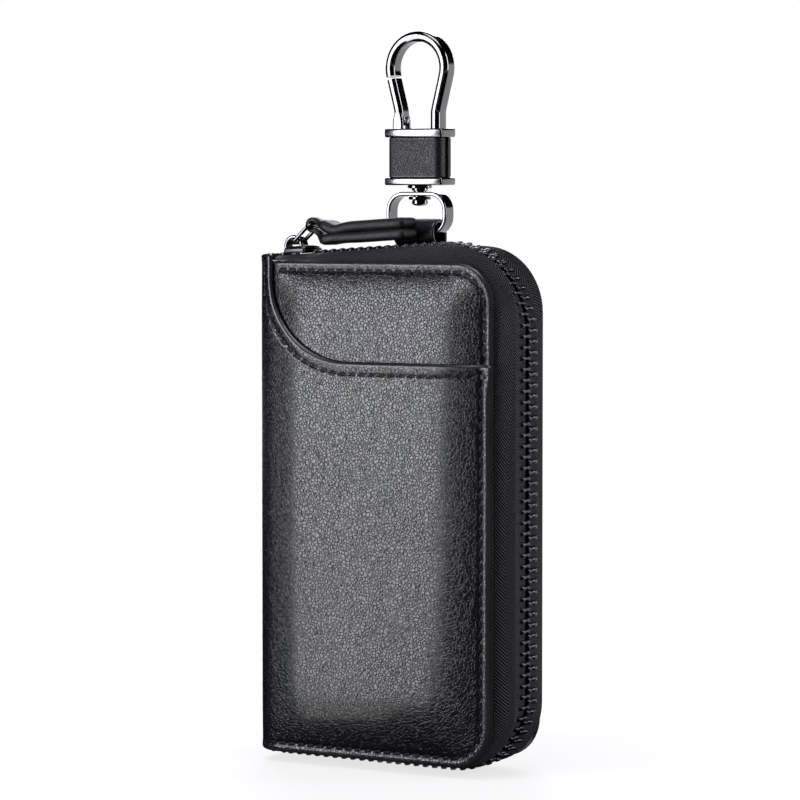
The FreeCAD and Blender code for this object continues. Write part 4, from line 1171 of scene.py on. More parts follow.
class KEYCASE_OT_zip(bpy.types.Operator):
    """Make the two tapes, their teeth and the end stops"""
    bl_idname = "keycase.zip"
    bl_label = "Zip"

    def execute(self, context):
        case = context.scene.key_case
        cut, zip_size = in_mm(case.leather), in_mm(case.zip)
        for name, side, depth, first in (("front", FRONT, FRONT_TAPE_DEPTH, zip_size.first_front),
                                         ("back", BACK, BACK_TAPE_DEPTH, zip_size.first_back)):
            body = name + "_half"
            self.tape(name, body, side, depth, cut, zip_size)
            self.teeth(name, body, side, first, zip_size)
        return {"FINISHED"}

    def tape(self, name, body, side, depth, cut, zip_size):
        """A tape from its corded edge over the bend to its flange, with its weave map."""
        half, left = zip_size.tape / 2, -HALF_WIDTH + zip_size.start
        bent = self.start(cut, zip_size.shoulder)
        flat = self.start(cut, depth)
        sewn = zip_size.seam_inset
        rim = [tape_line(zip_corners(zip_size, half * grow, left)) for grow in (1, -1)]
        shoulder = [tape_line(bend_corners(zip_size, half * grow, bent)) for grow in (1, -1)]
        foot = [tape_line(seam_corners(cut, sewn + more, flat)) for more in (0.0, zip_size.tape)]
        flange = tape_line(seam_corners(cut, sewn + zip_size.flange, flat))
        run = np.concatenate([[0.0], np.cumsum(np.linalg.norm(np.diff(rim[0], axis=0), axis=1))])
        rows, weave = [], []
        for i in range(len(run)):
            outer = self.profile(rim[0][i], shoulder[0][i], foot[0][i], zip_size, depth)
            inner = self.profile(rim[1][i], shoulder[1][i], foot[1][i], zip_size, depth - zip_size.tape)
            edge = [(*flange[i], depth), (*flange[i], depth - zip_size.tape)]
            ring = outer + edge + inner[::-1]
            rows.append([Vector((x, side * y, z)) for x, z, y in ring])
            across = 0.0
            for k, spot in enumerate(rows[-1]):
                across += (spot - rows[-1][k - 1]).length if k else 0.0
                weave.append((run[i], across))
        form = Form()
        form.grid(rows, weave=weave)
        form.piece(f"{name}_tape_cloth", body, [finish("tape")], [f"{name}_zip_tape"], "zip_tape",
                   sharp=TAPE_SHARP)

    def start(self, cut, depth):
        """How far towards the spine a tape reaches inside the rounded corner."""
        inner = cut.bend - 2 * cut.thickness
        room = max(inner ** 2 - (depth - cut.half_depth + cut.bend) ** 2, 0.0)
        return bend_x(cut) - math.sqrt(room) + TAPE_GAP

    def profile(self, rim, shoulder, foot, zip_size, depth):
        """A tape's section from its corded edge over the bend to the seam: x, z and distance from the zip."""
        found = [(*rim, zip_size.web)]
        for k in range(EDGE_PARTS + 1):
            t = k / EDGE_PARTS
            spot = rim + (shoulder - rim) * t
            cord = zip_size.cord * math.exp(-((t - CORD_AT) / CORD_REACH) ** 2)
            out = (rim - foot) / np.linalg.norm(rim - foot)
            found.append((*(spot + out * cord), zip_size.rim + (zip_size.shoulder - zip_size.rim) * t))
        for k in range(1, BEND_PARTS + 1):
            t = k / BEND_PARTS
            spot = shoulder + (foot - shoulder) * t
            found.append((*spot, zip_size.shoulder + (depth - zip_size.shoulder) * math.sin(t * math.pi / 2)))
        return found

    def teeth(self, name, body, side, first, zip_size):
        """A tape's teeth, those of the straight top as a piece of their own, and its two end stops."""
        line = round_line(zip_corners(zip_size, 0.0, -HALF_WIDTH + zip_size.start), CHAIN_RUNS, CHAIN_TURN)
        total = walk(line, [0.0])[2]
        top = math.dist(line[0], line[CHAIN_RUNS[0]])
        places = np.arange(first, total, zip_size.pitch)[:-1]
        ends = np.array([zip_size.stop, total - zip_size.stop])
        for label, chosen, far in (("teeth_top", places[places < top], -zip_size.lap),
                                   ("teeth", places[places >= top], -zip_size.lap),
                                   ("stops", ends, zip_size.stop_inset)):
            form = Form()
            spots, ways, _ = walk(line, chosen)
            for spot, way in zip(spots, ways):
                tooth(form, spot, way, side, zip_size, zip_size.rim, far)
            form.piece(f"{name}_chain_{label}", body, [finish("zip_metal")], [f"{name}_zip_{label}"],
                       "zip_metal", sharp=TOOTH_SHARP)


# Strips, turned pieces and blocks


def neighbours(path, i, closed):
    """The points before and after one point of a path; at an open end, that point itself."""
    count = len(path)
    before = path[i - 1] if closed or i else path[i]
    after = path[(i + 1) % count] if closed or i < count - 1 else path[i]
    return before, after


# Parts of a quarter turn at a strip's edges, and the most of its half thickness that they may take
EDGE_TURN_PARTS, MOST_TURN = 5, 0.95


def band(form, path, across, thick, half_width, closed=False, edge_mark=0, turn=0.45, columns=6):
    """A strip along a path with rounded edges; thick and half_width are numbers or one number per point."""
    path, across = [Vector(p) for p in path], Vector(across)
    thicks = np.broadcast_to(np.asarray(thick, float), (len(path),))
    halves = np.broadcast_to(np.asarray(half_width, float), (len(path),))
    quarter = [math.pi / 2 * k / EDGE_TURN_PARTS for k in range(1, EDGE_TURN_PARTS + 1)]
    rows = []
    for i, spot in enumerate(path):
        before, after = neighbours(path, i, closed)
        out = (after - before).normalized().cross(across)
        flat, deep = halves[i], thicks[i] / 2
        soft = min(turn, deep * MOST_TURN)
        upper = [(-flat + soft + 2 * (flat - soft) * k / columns, deep) for k in range(columns + 1)]
        edge = [(flat - soft + soft * math.sin(a), deep - soft + soft * math.cos(a)) for a in quarter]
        edge += [(w, -h) for w, h in reversed(edge)]
        half_ring = upper + edge
        ring = half_ring + [(-w, -h) for w, h in half_ring]
        rows.append([spot + across * w + out * h for w, h in ring])
    wide = len(rows[0])
    side = wide // 2
    marks = [0 if c % side < columns else edge_mark for c in range(wide)]
    form.grid(rows, marks, ring=closed)


# A turned piece's ends close to this radius
POINT = 1e-4


def lathe(form, profile, middle, axis=(0, 0, 1), sides=40):
    """A turned piece: profile gives radius and height along an axis through middle."""
    axis, middle = Vector(axis).normalized(), Vector(middle)
    first = axis.orthogonal().normalized()
    second = axis.cross(first)
    rows = []
    for radius, height in profile:
        level, reach = middle + axis * height, max(radius, POINT)
        rows.append([level + (first * math.cos(t) + second * math.sin(t)) * reach for t in circle(sides)])
    form.grid(rows)


def block(form, low, high, turn):
    """A block with rounded edges."""
    low, high = Vector(low), Vector(high)
    shell = bmesh.new()
    bmesh.ops.create_cube(shell, size=1.0)
    for v in shell.verts:
        v.co = Vector([low[k] + (v.co[k] + 0.5) * (high[k] - low[k]) for k in range(3)])
    bmesh.ops.bevel(shell, geom=shell.edges[:], offset=turn, segments=3, profile=0.5, affect="EDGES")
    shell.verts.index_update()
    form.add([v.co.copy() for v in shell.verts], [[v.index for v in f.verts] for f in shell.faces])
    shell.free()


def closed_wire(form, path, radius, sides=14):
    """A round wire along a closed path in space."""
    path = [Vector(p) for p in path]
    rows, side = [], None
    for i, spot in enumerate(path):
        before, after = neighbours(path, i, True)
        along = (after - before).normalized()
        side = (side - along * side.dot(along)).normalized() if side else along.orthogonal().normalized()
        up = along.cross(side)
        rows.append([spot + (side * math.cos(t) + up * math.sin(t)) * radius for t in circle(sides)])
    form.grid(rows, ring=True)


def dress(material, *nodes):
    """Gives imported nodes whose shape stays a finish."""
    for name in nodes:
        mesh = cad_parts[name].data
        mesh.materials.clear()
        mesh.materials.append(material)


# Slider and pull


def on_slider(zip_size, points, tilt=0.0, at=(0.0, 0.0)):
    """Points of the slider's own frame, x along the chain and z away from the case, tilted round a place."""
    left, right = -HALF_WIDTH + zip_size.start, HALF_WIDTH + zip_size.side
    slope = math.atan2(zip_size.top - zip_size.end, right - left)
    turn, lean = Matrix.Rotation(-slope, 3, "Y"), Matrix.Rotation(-tilt, 3, "Y")
    start = Vector((left, 0, zip_size.end)) + turn @ Vector((zip_size.slider_at, 0, 0))
    pivot = Vector((at[0], 0, at[1]))
    return [start + turn @ (pivot + lean @ Vector(p)) for p in points]


# Corners of a slider plate: how far in from its back or front end, and its half width as a share
PLATE_BACK, PLATE_FRONT = ((0.3, 0.4), (1.4, 0.72)), ((1.2, 1.0), (0.4, 0.55))
PLATE_ROUNDS, PLATE_STEP, PLATE_MESH, PLATE_DOME = 3, 0.5, 0.7, 0.25
# The wedge between the plates: where it starts and ends from the slider's back end, and its half width
WEDGE_START, WEDGE_END, WEDGE_HALF, WEDGE_TURN = 0.5, 3.5, 0.8, 0.3
# The flanges of the upper plate: how far in from its back and front, half width and height of their foot
FLANGE_BACK, FLANGE_FRONT, FLANGE_HALF, FLANGE_FOOT, FLANGE_TURN = 1.8, 0.9, 0.4, 0.6, 0.2
# How far wedge, flanges and bail go into the plates
WEDGE_SINK, FLANGE_SINK, BAIL_SINK = 0.2, 0.3, 0.2
BAIL_PARTS = 28
LINK_TURN, PULL_EDGE = 1.1, 1.2
# Along the pull, as shares from its free end to the link: where it narrows and bends to the link
NECK_START, NECK_END = 0.84, 0.94
# The padding's hump before the neck and the dip before that: place, reach and share of the hump
HUMP_AT, HUMP_REACH = 0.86, 0.06
DIP_AT, DIP_REACH, DIP_SHARE = 0.72, 0.09, 0.7
UPPER_HUMP, LOWER_HUMP = 0.8, -0.15
# The free end is rounded over these shares of the pull, down to these shares of its thickness and width
BLUNT_RUN, BLUNT_THICK = 0.045, 0.12
ROUND_RUN, ROUND_WIDE = 0.05, 0.7
# Rings of a leaf, close together at its free end, and parts of the fold round the link
LEAF_PARTS, FOLD_PARTS = 30, 8
LEAF_SHARES = [0.0, 0.003, 0.01, 0.022] + [0.04 + 0.96 * k / LEAF_PARTS for k in range(LEAF_PARTS + 1)]


def quarter_round(t):
    """Height of a quarter circle at a share of its width, 1 past it."""
    return math.sqrt(max(0.0, 1.0 - (1.0 - min(t, 1.0)) ** 2))


def bell(t, middle, reach):
    """1 at the middle, falling away on both sides."""
    return math.exp(-((t - middle) / reach) ** 2)


class KEYCASE_OT_slider(bpy.types.Operator):
    """Make the zip slider, its bail, the wire link and the leather pull"""
    bl_idname = "keycase.slider"
    bl_label = "Slider and pull"

    def execute(self, context):
        case = context.scene.key_case
        zip_size, pull = in_mm(case.zip), in_mm(case.pull)
        self.plates(zip_size)
        self.bail(zip_size)
        self.link(zip_size, pull)
        self.pull(zip_size, pull)
        return {"FINISHED"}

    def plates(self, zip_size):
        """Two domed plates, joined by the wedge that parts the teeth, with flanges along the upper one."""
        half, wide = zip_size.slider_length / 2, zip_size.slider_width / 2
        plate, room = zip_size.slider_plate, zip_size.slider_room / 2
        back = [(-half + x, wide * y) for x, y in PLATE_BACK]
        front = [(half - x, wide * y) for x, y in PLATE_FRONT]
        outline = [(x, -y) for x, y in back[1:] + front] + [(half, 0.0)]
        outline += front[::-1] + back[::-1] + [(-half, 0.0), (back[0][0], -back[0][1])]
        outline = self.rounded(outline)
        form = Form()
        for out in (1, -1):
            local = flat_place((0, 0, out * (room + plate)), (1, 0, 0), (0, 1, 0), (0, 0, out))

            def place(flat, depth, local=local, out=out):
                dome = 1.0 - (flat[:, 1] / wide) ** 2
                dome = PLATE_DOME * dome * np.clip(1.0 - np.asarray(depth) / plate, 0, 1)
                spots = local(flat, depth)
                spots[:, 2] += out * (dome - PLATE_DOME)
                return np.array([tuple(p) for p in on_slider(zip_size, spots)])

            sheet(form, outline, plate, place, PLATE_MESH, edge_mark=0)
        inner = Form()
        block(inner, (-half + WEDGE_START, -WEDGE_HALF, -room - WEDGE_SINK),
              (-half + WEDGE_END, WEDGE_HALF, room + WEDGE_SINK), WEDGE_TURN)
        for y in (FLANGE_HALF - wide, wide - FLANGE_HALF):
            block(inner, (FLANGE_BACK - half, y - FLANGE_HALF, FLANGE_FOOT),
                  (half - FLANGE_FRONT, y + FLANGE_HALF, room + FLANGE_SINK), FLANGE_TURN)
        form.add(on_slider(zip_size, inner.points), inner.faces)
        form.piece("slider_plates", "slider", [finish("zip_metal")], ["slider_body"], "zip_metal")

    def bail(self, zip_size):
        """The arched strip on the upper plate."""
        base = zip_size.slider_room / 2 + zip_size.slider_plate
        foot, strip = zip_size.bail_span / 2, zip_size.bail_strip
        rise = zip_size.bail_height - strip / 2 + BAIL_SINK
        turns = [math.pi * k / BAIL_PARTS for k in range(BAIL_PARTS + 1)]
        arch = [((foot - strip / 2) * -math.cos(a) - zip_size.bail_back,
                 base - BAIL_SINK + rise * math.sin(a)) for a in turns]
        form = Form()
        band(form, [(x, 0, z) for x, z in arch], (0, 1, 0), strip, zip_size.bail_width / 2)
        form.points = on_slider(zip_size, form.points)
        form.piece("slider_bail_strip", "slider", [finish("gunmetal")], ["slider_bail"], "gunmetal")

    def rounded(self, corners_in):
        """A closed outline whose corners are cut off over and over, at a quarter of each side."""
        points = np.array(corners_in, float)
        for _ in range(PLATE_ROUNDS):
            ahead = np.roll(points, -1, axis=0)
            cut = [points * 0.75 + ahead * 0.25, points * 0.25 + ahead * 0.75]
            points = np.stack(cut, axis=1).reshape(-1, 2)
        return resample(points, PLATE_STEP, closed=True)

    def link(self, zip_size, pull):
        """The wire link that hangs in the bail."""
        loop = rounded_box((0.0, -pull.link_half), (pull.link_length, pull.link_half), LINK_TURN)
        form = Form()
        closed_wire(form, [(x, y, 0.0) for x, y in loop], pull.link_wire / 2)
        seat = (pull.link_seat - zip_size.bail_back, pull.link_z)
        form.points = on_slider(zip_size, form.points, pull.link_tilt, seat)
        form.piece("pull_link_wire", "link", [finish("gunmetal")], ["pull_link"], "gunmetal")

    def pull(self, zip_size, pull):
        """Folded strap: a padded upper leaf, a lower leaf and a narrow neck round the link."""
        middle_x = pull.link_seat - zip_size.bail_back + pull.link_length * math.cos(pull.link_tilt)
        middle_z = pull.link_z + pull.link_length * math.sin(pull.link_tilt)
        end = pull.start + pull.length
        path, thick, wide = [], [], []

        def leaf(shares, height, far, leather, hump):
            for t in shares:
                fold = float(smooth(NECK_START, 1.0, t))
                up = hump * (bell(t, HUMP_AT, HUMP_REACH) - DIP_SHARE * bell(t, DIP_AT, DIP_REACH))
                blunt = BLUNT_THICK + (1.0 - BLUNT_THICK) * quarter_round(t / BLUNT_RUN)
                path.append((end + (middle_x - end) * t, height + (far - height) * fold + up * (1 - fold)))
                thick.append((leather + (pull.neck_leather - leather) * fold) * blunt)
                wide.append(self.width(t, pull))

        leaf(LEAF_SHARES, pull.upper, middle_z + pull.fold, pull.leaf, UPPER_HUMP)
        for k in range(1, FOLD_PARTS):
            a = math.pi / 2 + math.pi * k / FOLD_PARTS
            path.append((middle_x + pull.fold * math.cos(a), middle_z + pull.fold * math.sin(a)))
            thick.append(pull.neck_leather)
            wide.append(pull.neck)
        leaf(LEAF_SHARES[::-1], pull.lower, middle_z - pull.fold, pull.under_leaf, LOWER_HUMP)
        form = Form()
        band(form, [(x, 0, z) for x, z in path], (0, 1, 0), thick, wide, turn=PULL_EDGE, columns=8)
        form.points = on_slider(zip_size, form.points)
        form.piece("pull_strap_leather", "pull", [finish("trim_leather")], ["pull_strap"], "black_leather")

    def width(self, t, pull):
        """Half the strap's width: rounded at its free end, narrow at the link."""
        neck = float(smooth(NECK_START, NECK_END, t))
        end = ROUND_WIDE + (1.0 - ROUND_WIDE) * quarter_round(t / ROUND_RUN)
        return (pull.half + (pull.neck - pull.half) * neck) * end


# Strap loop, swivel and hook


# How far the strap goes round the loop, in degrees, and the parts of its straight and its round
LOOP_END, STRAIGHT_PARTS, LOOP_PARTS = 250, 8, 26
# The strap's tail inside the case: its gap as a share of the leather, and its ends below the loop
TAIL_GAP, TAIL_START, TAIL_END = 1.02, 2.4, 5.0
# Longest run along the strap, the ring and the sleeve
STRIP_STEP = 0.8


class KEYCASE_OT_strap(bpy.types.Operator):
    """Make the leather loop that carries the case on the ring"""
    bl_idname = "keycase.strap"
    bl_label = "Strap loop"

    def execute(self, context):
        low, high = corners("strap_loop")
        thick = context.scene.key_case.hook.strap / MM
        radius = (high.y - low.y) / 2 - thick / 2
        middle_y, middle_z = (low.y + high.y) / 2, high.z - radius - thick / 2
        back = high.y - thick / 2
        straight = [low.z + (middle_z - low.z) * k / STRAIGHT_PARTS for k in range(STRAIGHT_PARTS)]
        path = [(back, z) for z in straight]
        path += arc((middle_y, middle_z), radius, 0, LOOP_END, LOOP_PARTS)
        tail = back - thick * TAIL_GAP
        path += [(tail, middle_z - radius - TAIL_START), (tail, middle_z - radius - TAIL_END)]
        form = Form()
        band(form, [(0, y, z) for y, z in resample(path, STRIP_STEP)], (1, 0, 0), thick, (high.x - low.x) / 2,
             edge_mark=1)
        form.piece("strap_loop_leather", "back_half", trim_finish(), ["strap_loop"], "black_leather", EYE)
        return {"FINISHED"}


# Rivet: shares of the button's radius at its foot and under the flange, and heights above the foot
FOOT_SHARE, NECK_SHARE = 0.7, 0.8
FOOT_BEVEL, BUTTON_LOW, BUTTON_HIGH = 0.12, 0.55, 1.3
FLANGE_LOW, FLANGE_HIGH, FLANGE_BEVEL = 1.5, 2.3, 0.2
# Rivet's shoulder: heights above the ring's top
SHOULDER_START, SHOULDER_LOW, SHOULDER_HIGH, SHOULDER_END = 0.15, 0.3, 0.8, 0.85
WASHER_GAP, WASHER_BEVEL, WASHER_DROP = 0.05, 0.25, 0.2
RING_EDGE = 0.35


class KEYCASE_OT_swivel(bpy.types.Operator):
    """Make the band ring, its rivet and washer"""
    bl_idname = "keycase.swivel"
    bl_label = "Swivel"

    def execute(self, context):
        hook = in_mm(context.scene.key_case.hook)
        self.ring(hook)
        self.turned("swivel_rivet", self.rivet(hook))
        self.turned("swivel_washer", self.washer(hook))
        return {"FINISHED"}

    def ring(self, hook):
        """A flat band with round corners."""
        low, high = corners("swivel_ring")
        half = hook.ring_band / 2
        loop = rounded_box((low.x + half, low.z + half), (high.x - half, high.z - half),
                           hook.ring_corner - half)
        form = Form()
        band(form, [(x, 0, z) for x, z in divide(loop, STRIP_STEP)], (0, 1, 0), hook.ring_band,
             (high.y - low.y) / 2, closed=True, turn=RING_EDGE, columns=4)
        form.piece("swivel_ring_band", "ring", [finish("gunmetal")], ["swivel_ring"], "gunmetal", EYE)

    def rivet(self, hook):
        """Profile of the rivet: button and flange inside the ring, shoulder over it, shank up to the hook."""
        low, high = corners("swivel_rivet")
        ring_top = corners("swivel_ring")[1].z
        button, flange, shank, shoulder = hook.rivet_button, high.x, hook.rivet_shank, hook.rivet_shoulder
        lower = [(0.0, 0.0), (button * FOOT_SHARE, FOOT_BEVEL), (button, BUTTON_LOW), (button, BUTTON_HIGH),
                 (button * NECK_SHARE, FLANGE_LOW), (flange - FLANGE_BEVEL, FLANGE_LOW),
                 (flange, FLANGE_LOW + FLANGE_BEVEL), (flange, FLANGE_HIGH - FLANGE_BEVEL),
                 (flange - FLANGE_BEVEL, FLANGE_HIGH), (shank, FLANGE_HIGH)]
        upper = [(shank, SHOULDER_START), (shoulder, SHOULDER_LOW), (shoulder, SHOULDER_HIGH),
                 (shank, SHOULDER_END)]
        profile = [(radius, low.z + up) for radius, up in lower]
        profile += [(radius, ring_top + up) for radius, up in upper]
        return profile + [(shank, high.z), (0.0, high.z)]

    def washer(self, hook):
        """Closed profile of the washer, with a small gap round the rivet."""
        low, high = corners("swivel_washer")
        radius, bore = high.x, hook.rivet_shank + WASHER_GAP
        edge = radius - WASHER_BEVEL
        return [(bore, low.z), (edge, low.z), (radius, low.z + WASHER_DROP), (radius, high.z - WASHER_DROP),
                (edge, high.z), (bore, high.z), (bore, low.z)]

    def turned(self, node_name, profile):
        """A turned piece round the swivel's axis."""
        form = Form()
        lathe(form, profile, (0, 0, 0))
        form.piece(f"{node_name}_turned", "hook", [finish("gunmetal")], [node_name], "gunmetal", EYE)


# How far the bent bar and the ears go into the upper bar, and the rounding of the bars
HOOK_SINK, BAR_EDGE = 0.6, 0.4
# Radius of the bends over the feet, parts of the bow and rounding of the bent bar and the gate
LEG_BEND, GATE_BEND, BOW_PARTS, LEG_EDGE, GATE_EDGE = 7.0, 6.0, 44, 1.0, 0.9
# Ears beside the gate: thickness, gap to the hook's face, height over the pivot, half widths from foot to top
EAR, EAR_GAP, EAR_RISE, EAR_HALVES, EAR_EDGE = 1.0, 0.12, 1.7, [1.5, 1.4, 0.9], 0.5
# The block inside the sleeve: how far in from the sleeve's outside, and its rounding
CORE_INSET, CORE_EDGE = 1.4, 0.2
# The sleeve's corners, half the gap between its two edges, and their rounding
SLEEVE_TURN, SLEEVE_GAP, SLEEVE_EDGE = 1.1, 0.75, 0.4
# The gate's start over its pivot, how far left its tip lies, and its barrel's gap to the hook's face
GATE_START, TIP_LEFT, BARREL_GAP = 0.6, 0.1, 1.15
# Gate's barrel: radii at the pin, at its bevels and outside, the bevel's height and where it ends
BARREL_BORE, BARREL_FACE, BARREL, BARREL_BEVEL, BARREL_END = 0.8, 1.2, 1.35, 0.2, 0.4


class KEYCASE_OT_hook(bpy.types.Operator):
    """Make the snap hook with its bars, leather sleeve and gate"""
    bl_idname = "keycase.hook"
    bl_label = "Snap hook"

    def execute(self, context):
        hook = in_mm(context.scene.key_case.hook)
        self.frame(hook)
        self.sleeve(hook)
        self.gate(hook)
        dress(finish("gunmetal"), "gate_pin")
        dress(finish("steel"), "gate_spring")
        return {"FINISHED"}

    def frame(self, hook):
        """The bent bar over its upper plate, with the ears of the gate, and the lower bar."""
        high = corners("hook_frame")[1]
        sleeve_low, sleeve_high = corners("leather_sleeve")
        bar_low, bar_high = corners("lower_bar")
        radius, floor = high.z - hook.bar / 2, -hook.eye_rise - HOOK_SINK
        foot = Vector((hook.leg + hook.bar / 2, floor))
        knee = Vector((foot.x, hook.foot - hook.eye_rise))
        start = math.degrees(math.atan2(knee.y, knee.x) + math.acos(radius / knee.length))
        bow = arc((0, 0), radius, start, hook.nose, BOW_PARTS)
        leg = round_line([tuple(foot), (*knee, LEG_BEND), bow[0]], runs=(4, 6), steps=6)[:-1]
        form = Form()
        band(form, [(x, 0, z) for x, z in leg + bow], (0, 1, 0), hook.bar, hook.depth / 2, turn=LEG_EDGE,
             columns=4)
        block(form, (bar_low.x, bar_low.y, sleeve_high.z), (bar_high.x, bar_high.y, -hook.eye_rise), BAR_EDGE)
        pivot_x, pivot_z = -hook.gate_inset, hook.gate_rise - hook.eye_rise
        for side in (-1, 1):
            y = side * (hook.depth / 2 - EAR / 2 - EAR_GAP)
            path = [(pivot_x, y, z) for z in (floor, pivot_z, pivot_z + EAR_RISE)]
            band(form, path, (1, 0, 0), EAR, EAR_HALVES, turn=EAR_EDGE, columns=4)
        block(form, (sleeve_low.x + CORE_INSET, sleeve_low.y + CORE_INSET, sleeve_low.z),
              (sleeve_high.x - CORE_INSET, sleeve_high.y - CORE_INSET, sleeve_high.z), CORE_EDGE)
        form.piece("hook_bar", "hook", [finish("gunmetal")], ["hook_frame"], "gunmetal", EYE)
        form = Form()
        block(form, bar_low, bar_high, BAR_EDGE)
        form.piece("lower_bar_plate", "hook", [finish("gunmetal")], ["lower_bar"], "gunmetal", EYE)

    def sleeve(self, hook):
        """Leather wrapped round the block, its two edges meeting on the right side."""
        low, high = corners("leather_sleeve")
        half, turn = hook.sleeve / 2, SLEEVE_TURN
        x0, x1, y0, y1 = low.x + half, high.x - half, low.y + half, high.y - half
        path = [(x1, -SLEEVE_GAP)]
        path += arc((x1 - turn, y0 + turn), turn, 0, -90, steps=6)
        path += arc((x0 + turn, y0 + turn), turn, -90, -180, steps=6)
        path += arc((x0 + turn, y1 - turn), turn, 180, 90, steps=6)
        path += arc((x1 - turn, y1 - turn), turn, 90, 0, steps=6)
        path = divide(path + [(x1, SLEEVE_GAP)], STRIP_STEP, closed=False)
        middle = (low.z + high.z) / 2
        form = Form()
        band(form, [(x, y, middle) for x, y in path], (0, 0, 1), hook.sleeve, (high.z - low.z) / 2,
             edge_mark=1, turn=SLEEVE_EDGE)
        form.piece("sleeve_leather", "hook", trim_finish(), ["leather_sleeve"], "black_leather", EYE)

    def gate(self, hook):
        """The sprung gate, bowed outward like the other leg."""
        low, high = corners("gate")
        pivot = Vector((-hook.gate_inset, hook.gate_rise - hook.eye_rise))
        tip = (low.x + hook.gate_bar / 2 - TIP_LEFT, high.z)
        knee = (pivot.x, hook.foot - hook.eye_rise, GATE_BEND)
        path = round_line([(pivot.x, pivot.y + GATE_START), knee, tip], runs=(4, 10), steps=6)
        form = Form()
        band(form, [(x, 0, z) for x, z in path], (0, 1, 0), hook.gate_bar, high.y, turn=GATE_EDGE, columns=4)
        far = hook.depth / 2 - BARREL_GAP
        profile = [(BARREL_BORE, -far), (BARREL_FACE, -far), (BARREL, BARREL_BEVEL - far),
                   (BARREL, BARREL_END - BARREL_BEVEL), (BARREL_FACE, BARREL_END), (BARREL_BORE, BARREL_END)]
        lathe(form, profile, (pivot.x, 0, pivot.y), (0, 1, 0), sides=24)
        form.piece("gate_lever", "gate", [finish("gunmetal")], ["gate"], "gunmetal", EYE)


class KEYCASE_OT_keys(bpy.types.Operator):
    """Finish the key rail and the key hooks inside the case"""
    bl_idname = "keycase.keys"
    bl_label = "Key fitting"

    def execute(self, context):
        dress(finish("steel"), "key_rail", "rail_rod", "rail_rivets", *[f"key_hook_{n}" for n in range(1, 7)])
        dress(finish("trim_leather"), "rail_backing")
        return {"FINISHED"}


# Studio


def studio_frame(studio):
    """The middle of the case, and the camera's right and backward directions on the floor."""
    turn = studio.azimuth
    right = Vector((math.cos(turn), math.sin(turn), 0.0))
    back = Vector((math.sin(turn), -math.cos(turn), 0.0))
    return Vector((CASE.x, CASE.y, CASE.z - PANEL_HEIGHT / 2)), right, back


def around(middle, azimuth, elevation, distance):
    """A point round the case, angles in degrees, distance in millimetres."""
    a, e = math.radians(azimuth), math.radians(elevation)
    return middle + Vector((math.sin(a) * math.cos(e), -math.cos(a) * math.cos(e), math.sin(e))) * distance


def aim(made, spot, look):
    """Puts a lamp or the camera at a spot in millimetres, looking one way."""
    made.location = spot * MM
    made.rotation_mode = "QUATERNION"
    made.rotation_quaternion = look.to_track_quat("-Z", "Y")


# Bluish white of the softboxes
LAMP_COLOUR = (0.90, 0.915, 1.0)
LAMP_DISTANCE = 900.0
# Softboxes: azimuth and elevation in degrees, width and height in millimetres, watts
LAMPS = {
    "key_softbox": (-31, 8, 380, 540, 6.1),
    "top_softbox": (20, 72, 600, 500, 4.0),
    "side_softbox": (120, 20, 250, 600, 3.5),
    "back_softbox": (215, 25, 500, 500, 4.0),
}


def add_lamp(name, middle, azimuth, elevation, wide, high, watts):
    """A softbox that faces the middle of the case."""
    lamp = bpy.data.lights.new(name, "AREA")
    lamp.shape, lamp.size, lamp.size_y, lamp.energy = "RECTANGLE", wide * MM, high * MM, watts
    lamp.color = LAMP_COLOUR
    spot = around(middle, azimuth, elevation, LAMP_DISTANCE)
    aim(new_object(name, lamp), spot, middle - spot)


# Dark tent: radius, azimuths of its ribs, rises of its rings, and the azimuth from which its low ring is open
TENT, TENT_STEP = 1300.0, 15.0
TENT_TURNS = [-150.0 + TENT_STEP * k for k in range(25)]
TENT_RISES = [-2.0, 12.0, 26.0, 40.0, 55.0, 70.0, 85.0]
TENT_OPEN = 130.0
# Dark sheet on the floor: its reach from the middle of the case and its height over the ground
SHEET_REACH, SHEET_RISE = (5.0, 1250.0), 0.5
# Glowing sheets on the floor, seen only in reflections, which paint a reflection onto the lower front:
# azimuths, height, then reach and strength of each
GLOW_CARD_TURNS, GLOW_CARD_RISE = (-44.0, -38.0, -32.0, -26.0, -20.0), 1.0
GLOW_CARDS = {"glow_reflection_card": ((110.0, 885.0), 5.0), "near_glow_reflection_card": ((45.0, 110.0), 2.4)}


def add_card(name, points, faces, material):
    """A card that shows only in reflections."""
    mesh = bpy.data.meshes.new(name)
    mesh.from_pydata([p * MM for p in points], [], faces)
    mesh.materials.append(material)
    card = new_object(name, mesh)
    card.visible_camera = card.visible_diffuse = card.visible_shadow = False
    card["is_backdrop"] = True


def add_floor_card(name, middle, turns, reach, rise, material):
    """A card that lies over the ground between two distances from the middle of the case."""
    points = []
    for turn in turns:
        for away in reach:
            spot = around(middle, turn, 0.0, away)
            spot.z = CAD_BOX[0].z / MM + rise
            points.append(spot)
    faces = [(2 * k, 2 * k + 1, 2 * k + 3, 2 * k + 2) for k in range(len(turns) - 1)]
    add_card(name, points, faces, material)


def seen_directly(tree):
    """1 on camera, glossy and transmission rays."""
    path = node(tree, "LightPath").outputs
    shown = math_node(tree, "MAXIMUM", path["Is Camera Ray"], path["Is Glossy Ray"])
    return math_node(tree, "MAXIMUM", shown, path["Is Transmission Ray"])


# Strength of the surroundings as a light; what is seen of them is white
SOFT_LIGHT = 0.35
FLOOR_HALF, FLOOR_GAP = 3000.0, 0.3
# From the case outward, in metres, the floor's own glow rises between these shares and covers its shadows
GLOW_RUN, GLOW_SHARES = (0.12, 0.5), (0.7, 1.0)
WHITE, CARD_BLACK = (1.0, 1.0, 1.0), (0.004, 0.004, 0.004)
# Camera: width of its sensor in millimetres, and the nearest and farthest that it sees in metres
SENSOR, CLIP = 36.0, (0.01, 20.0)


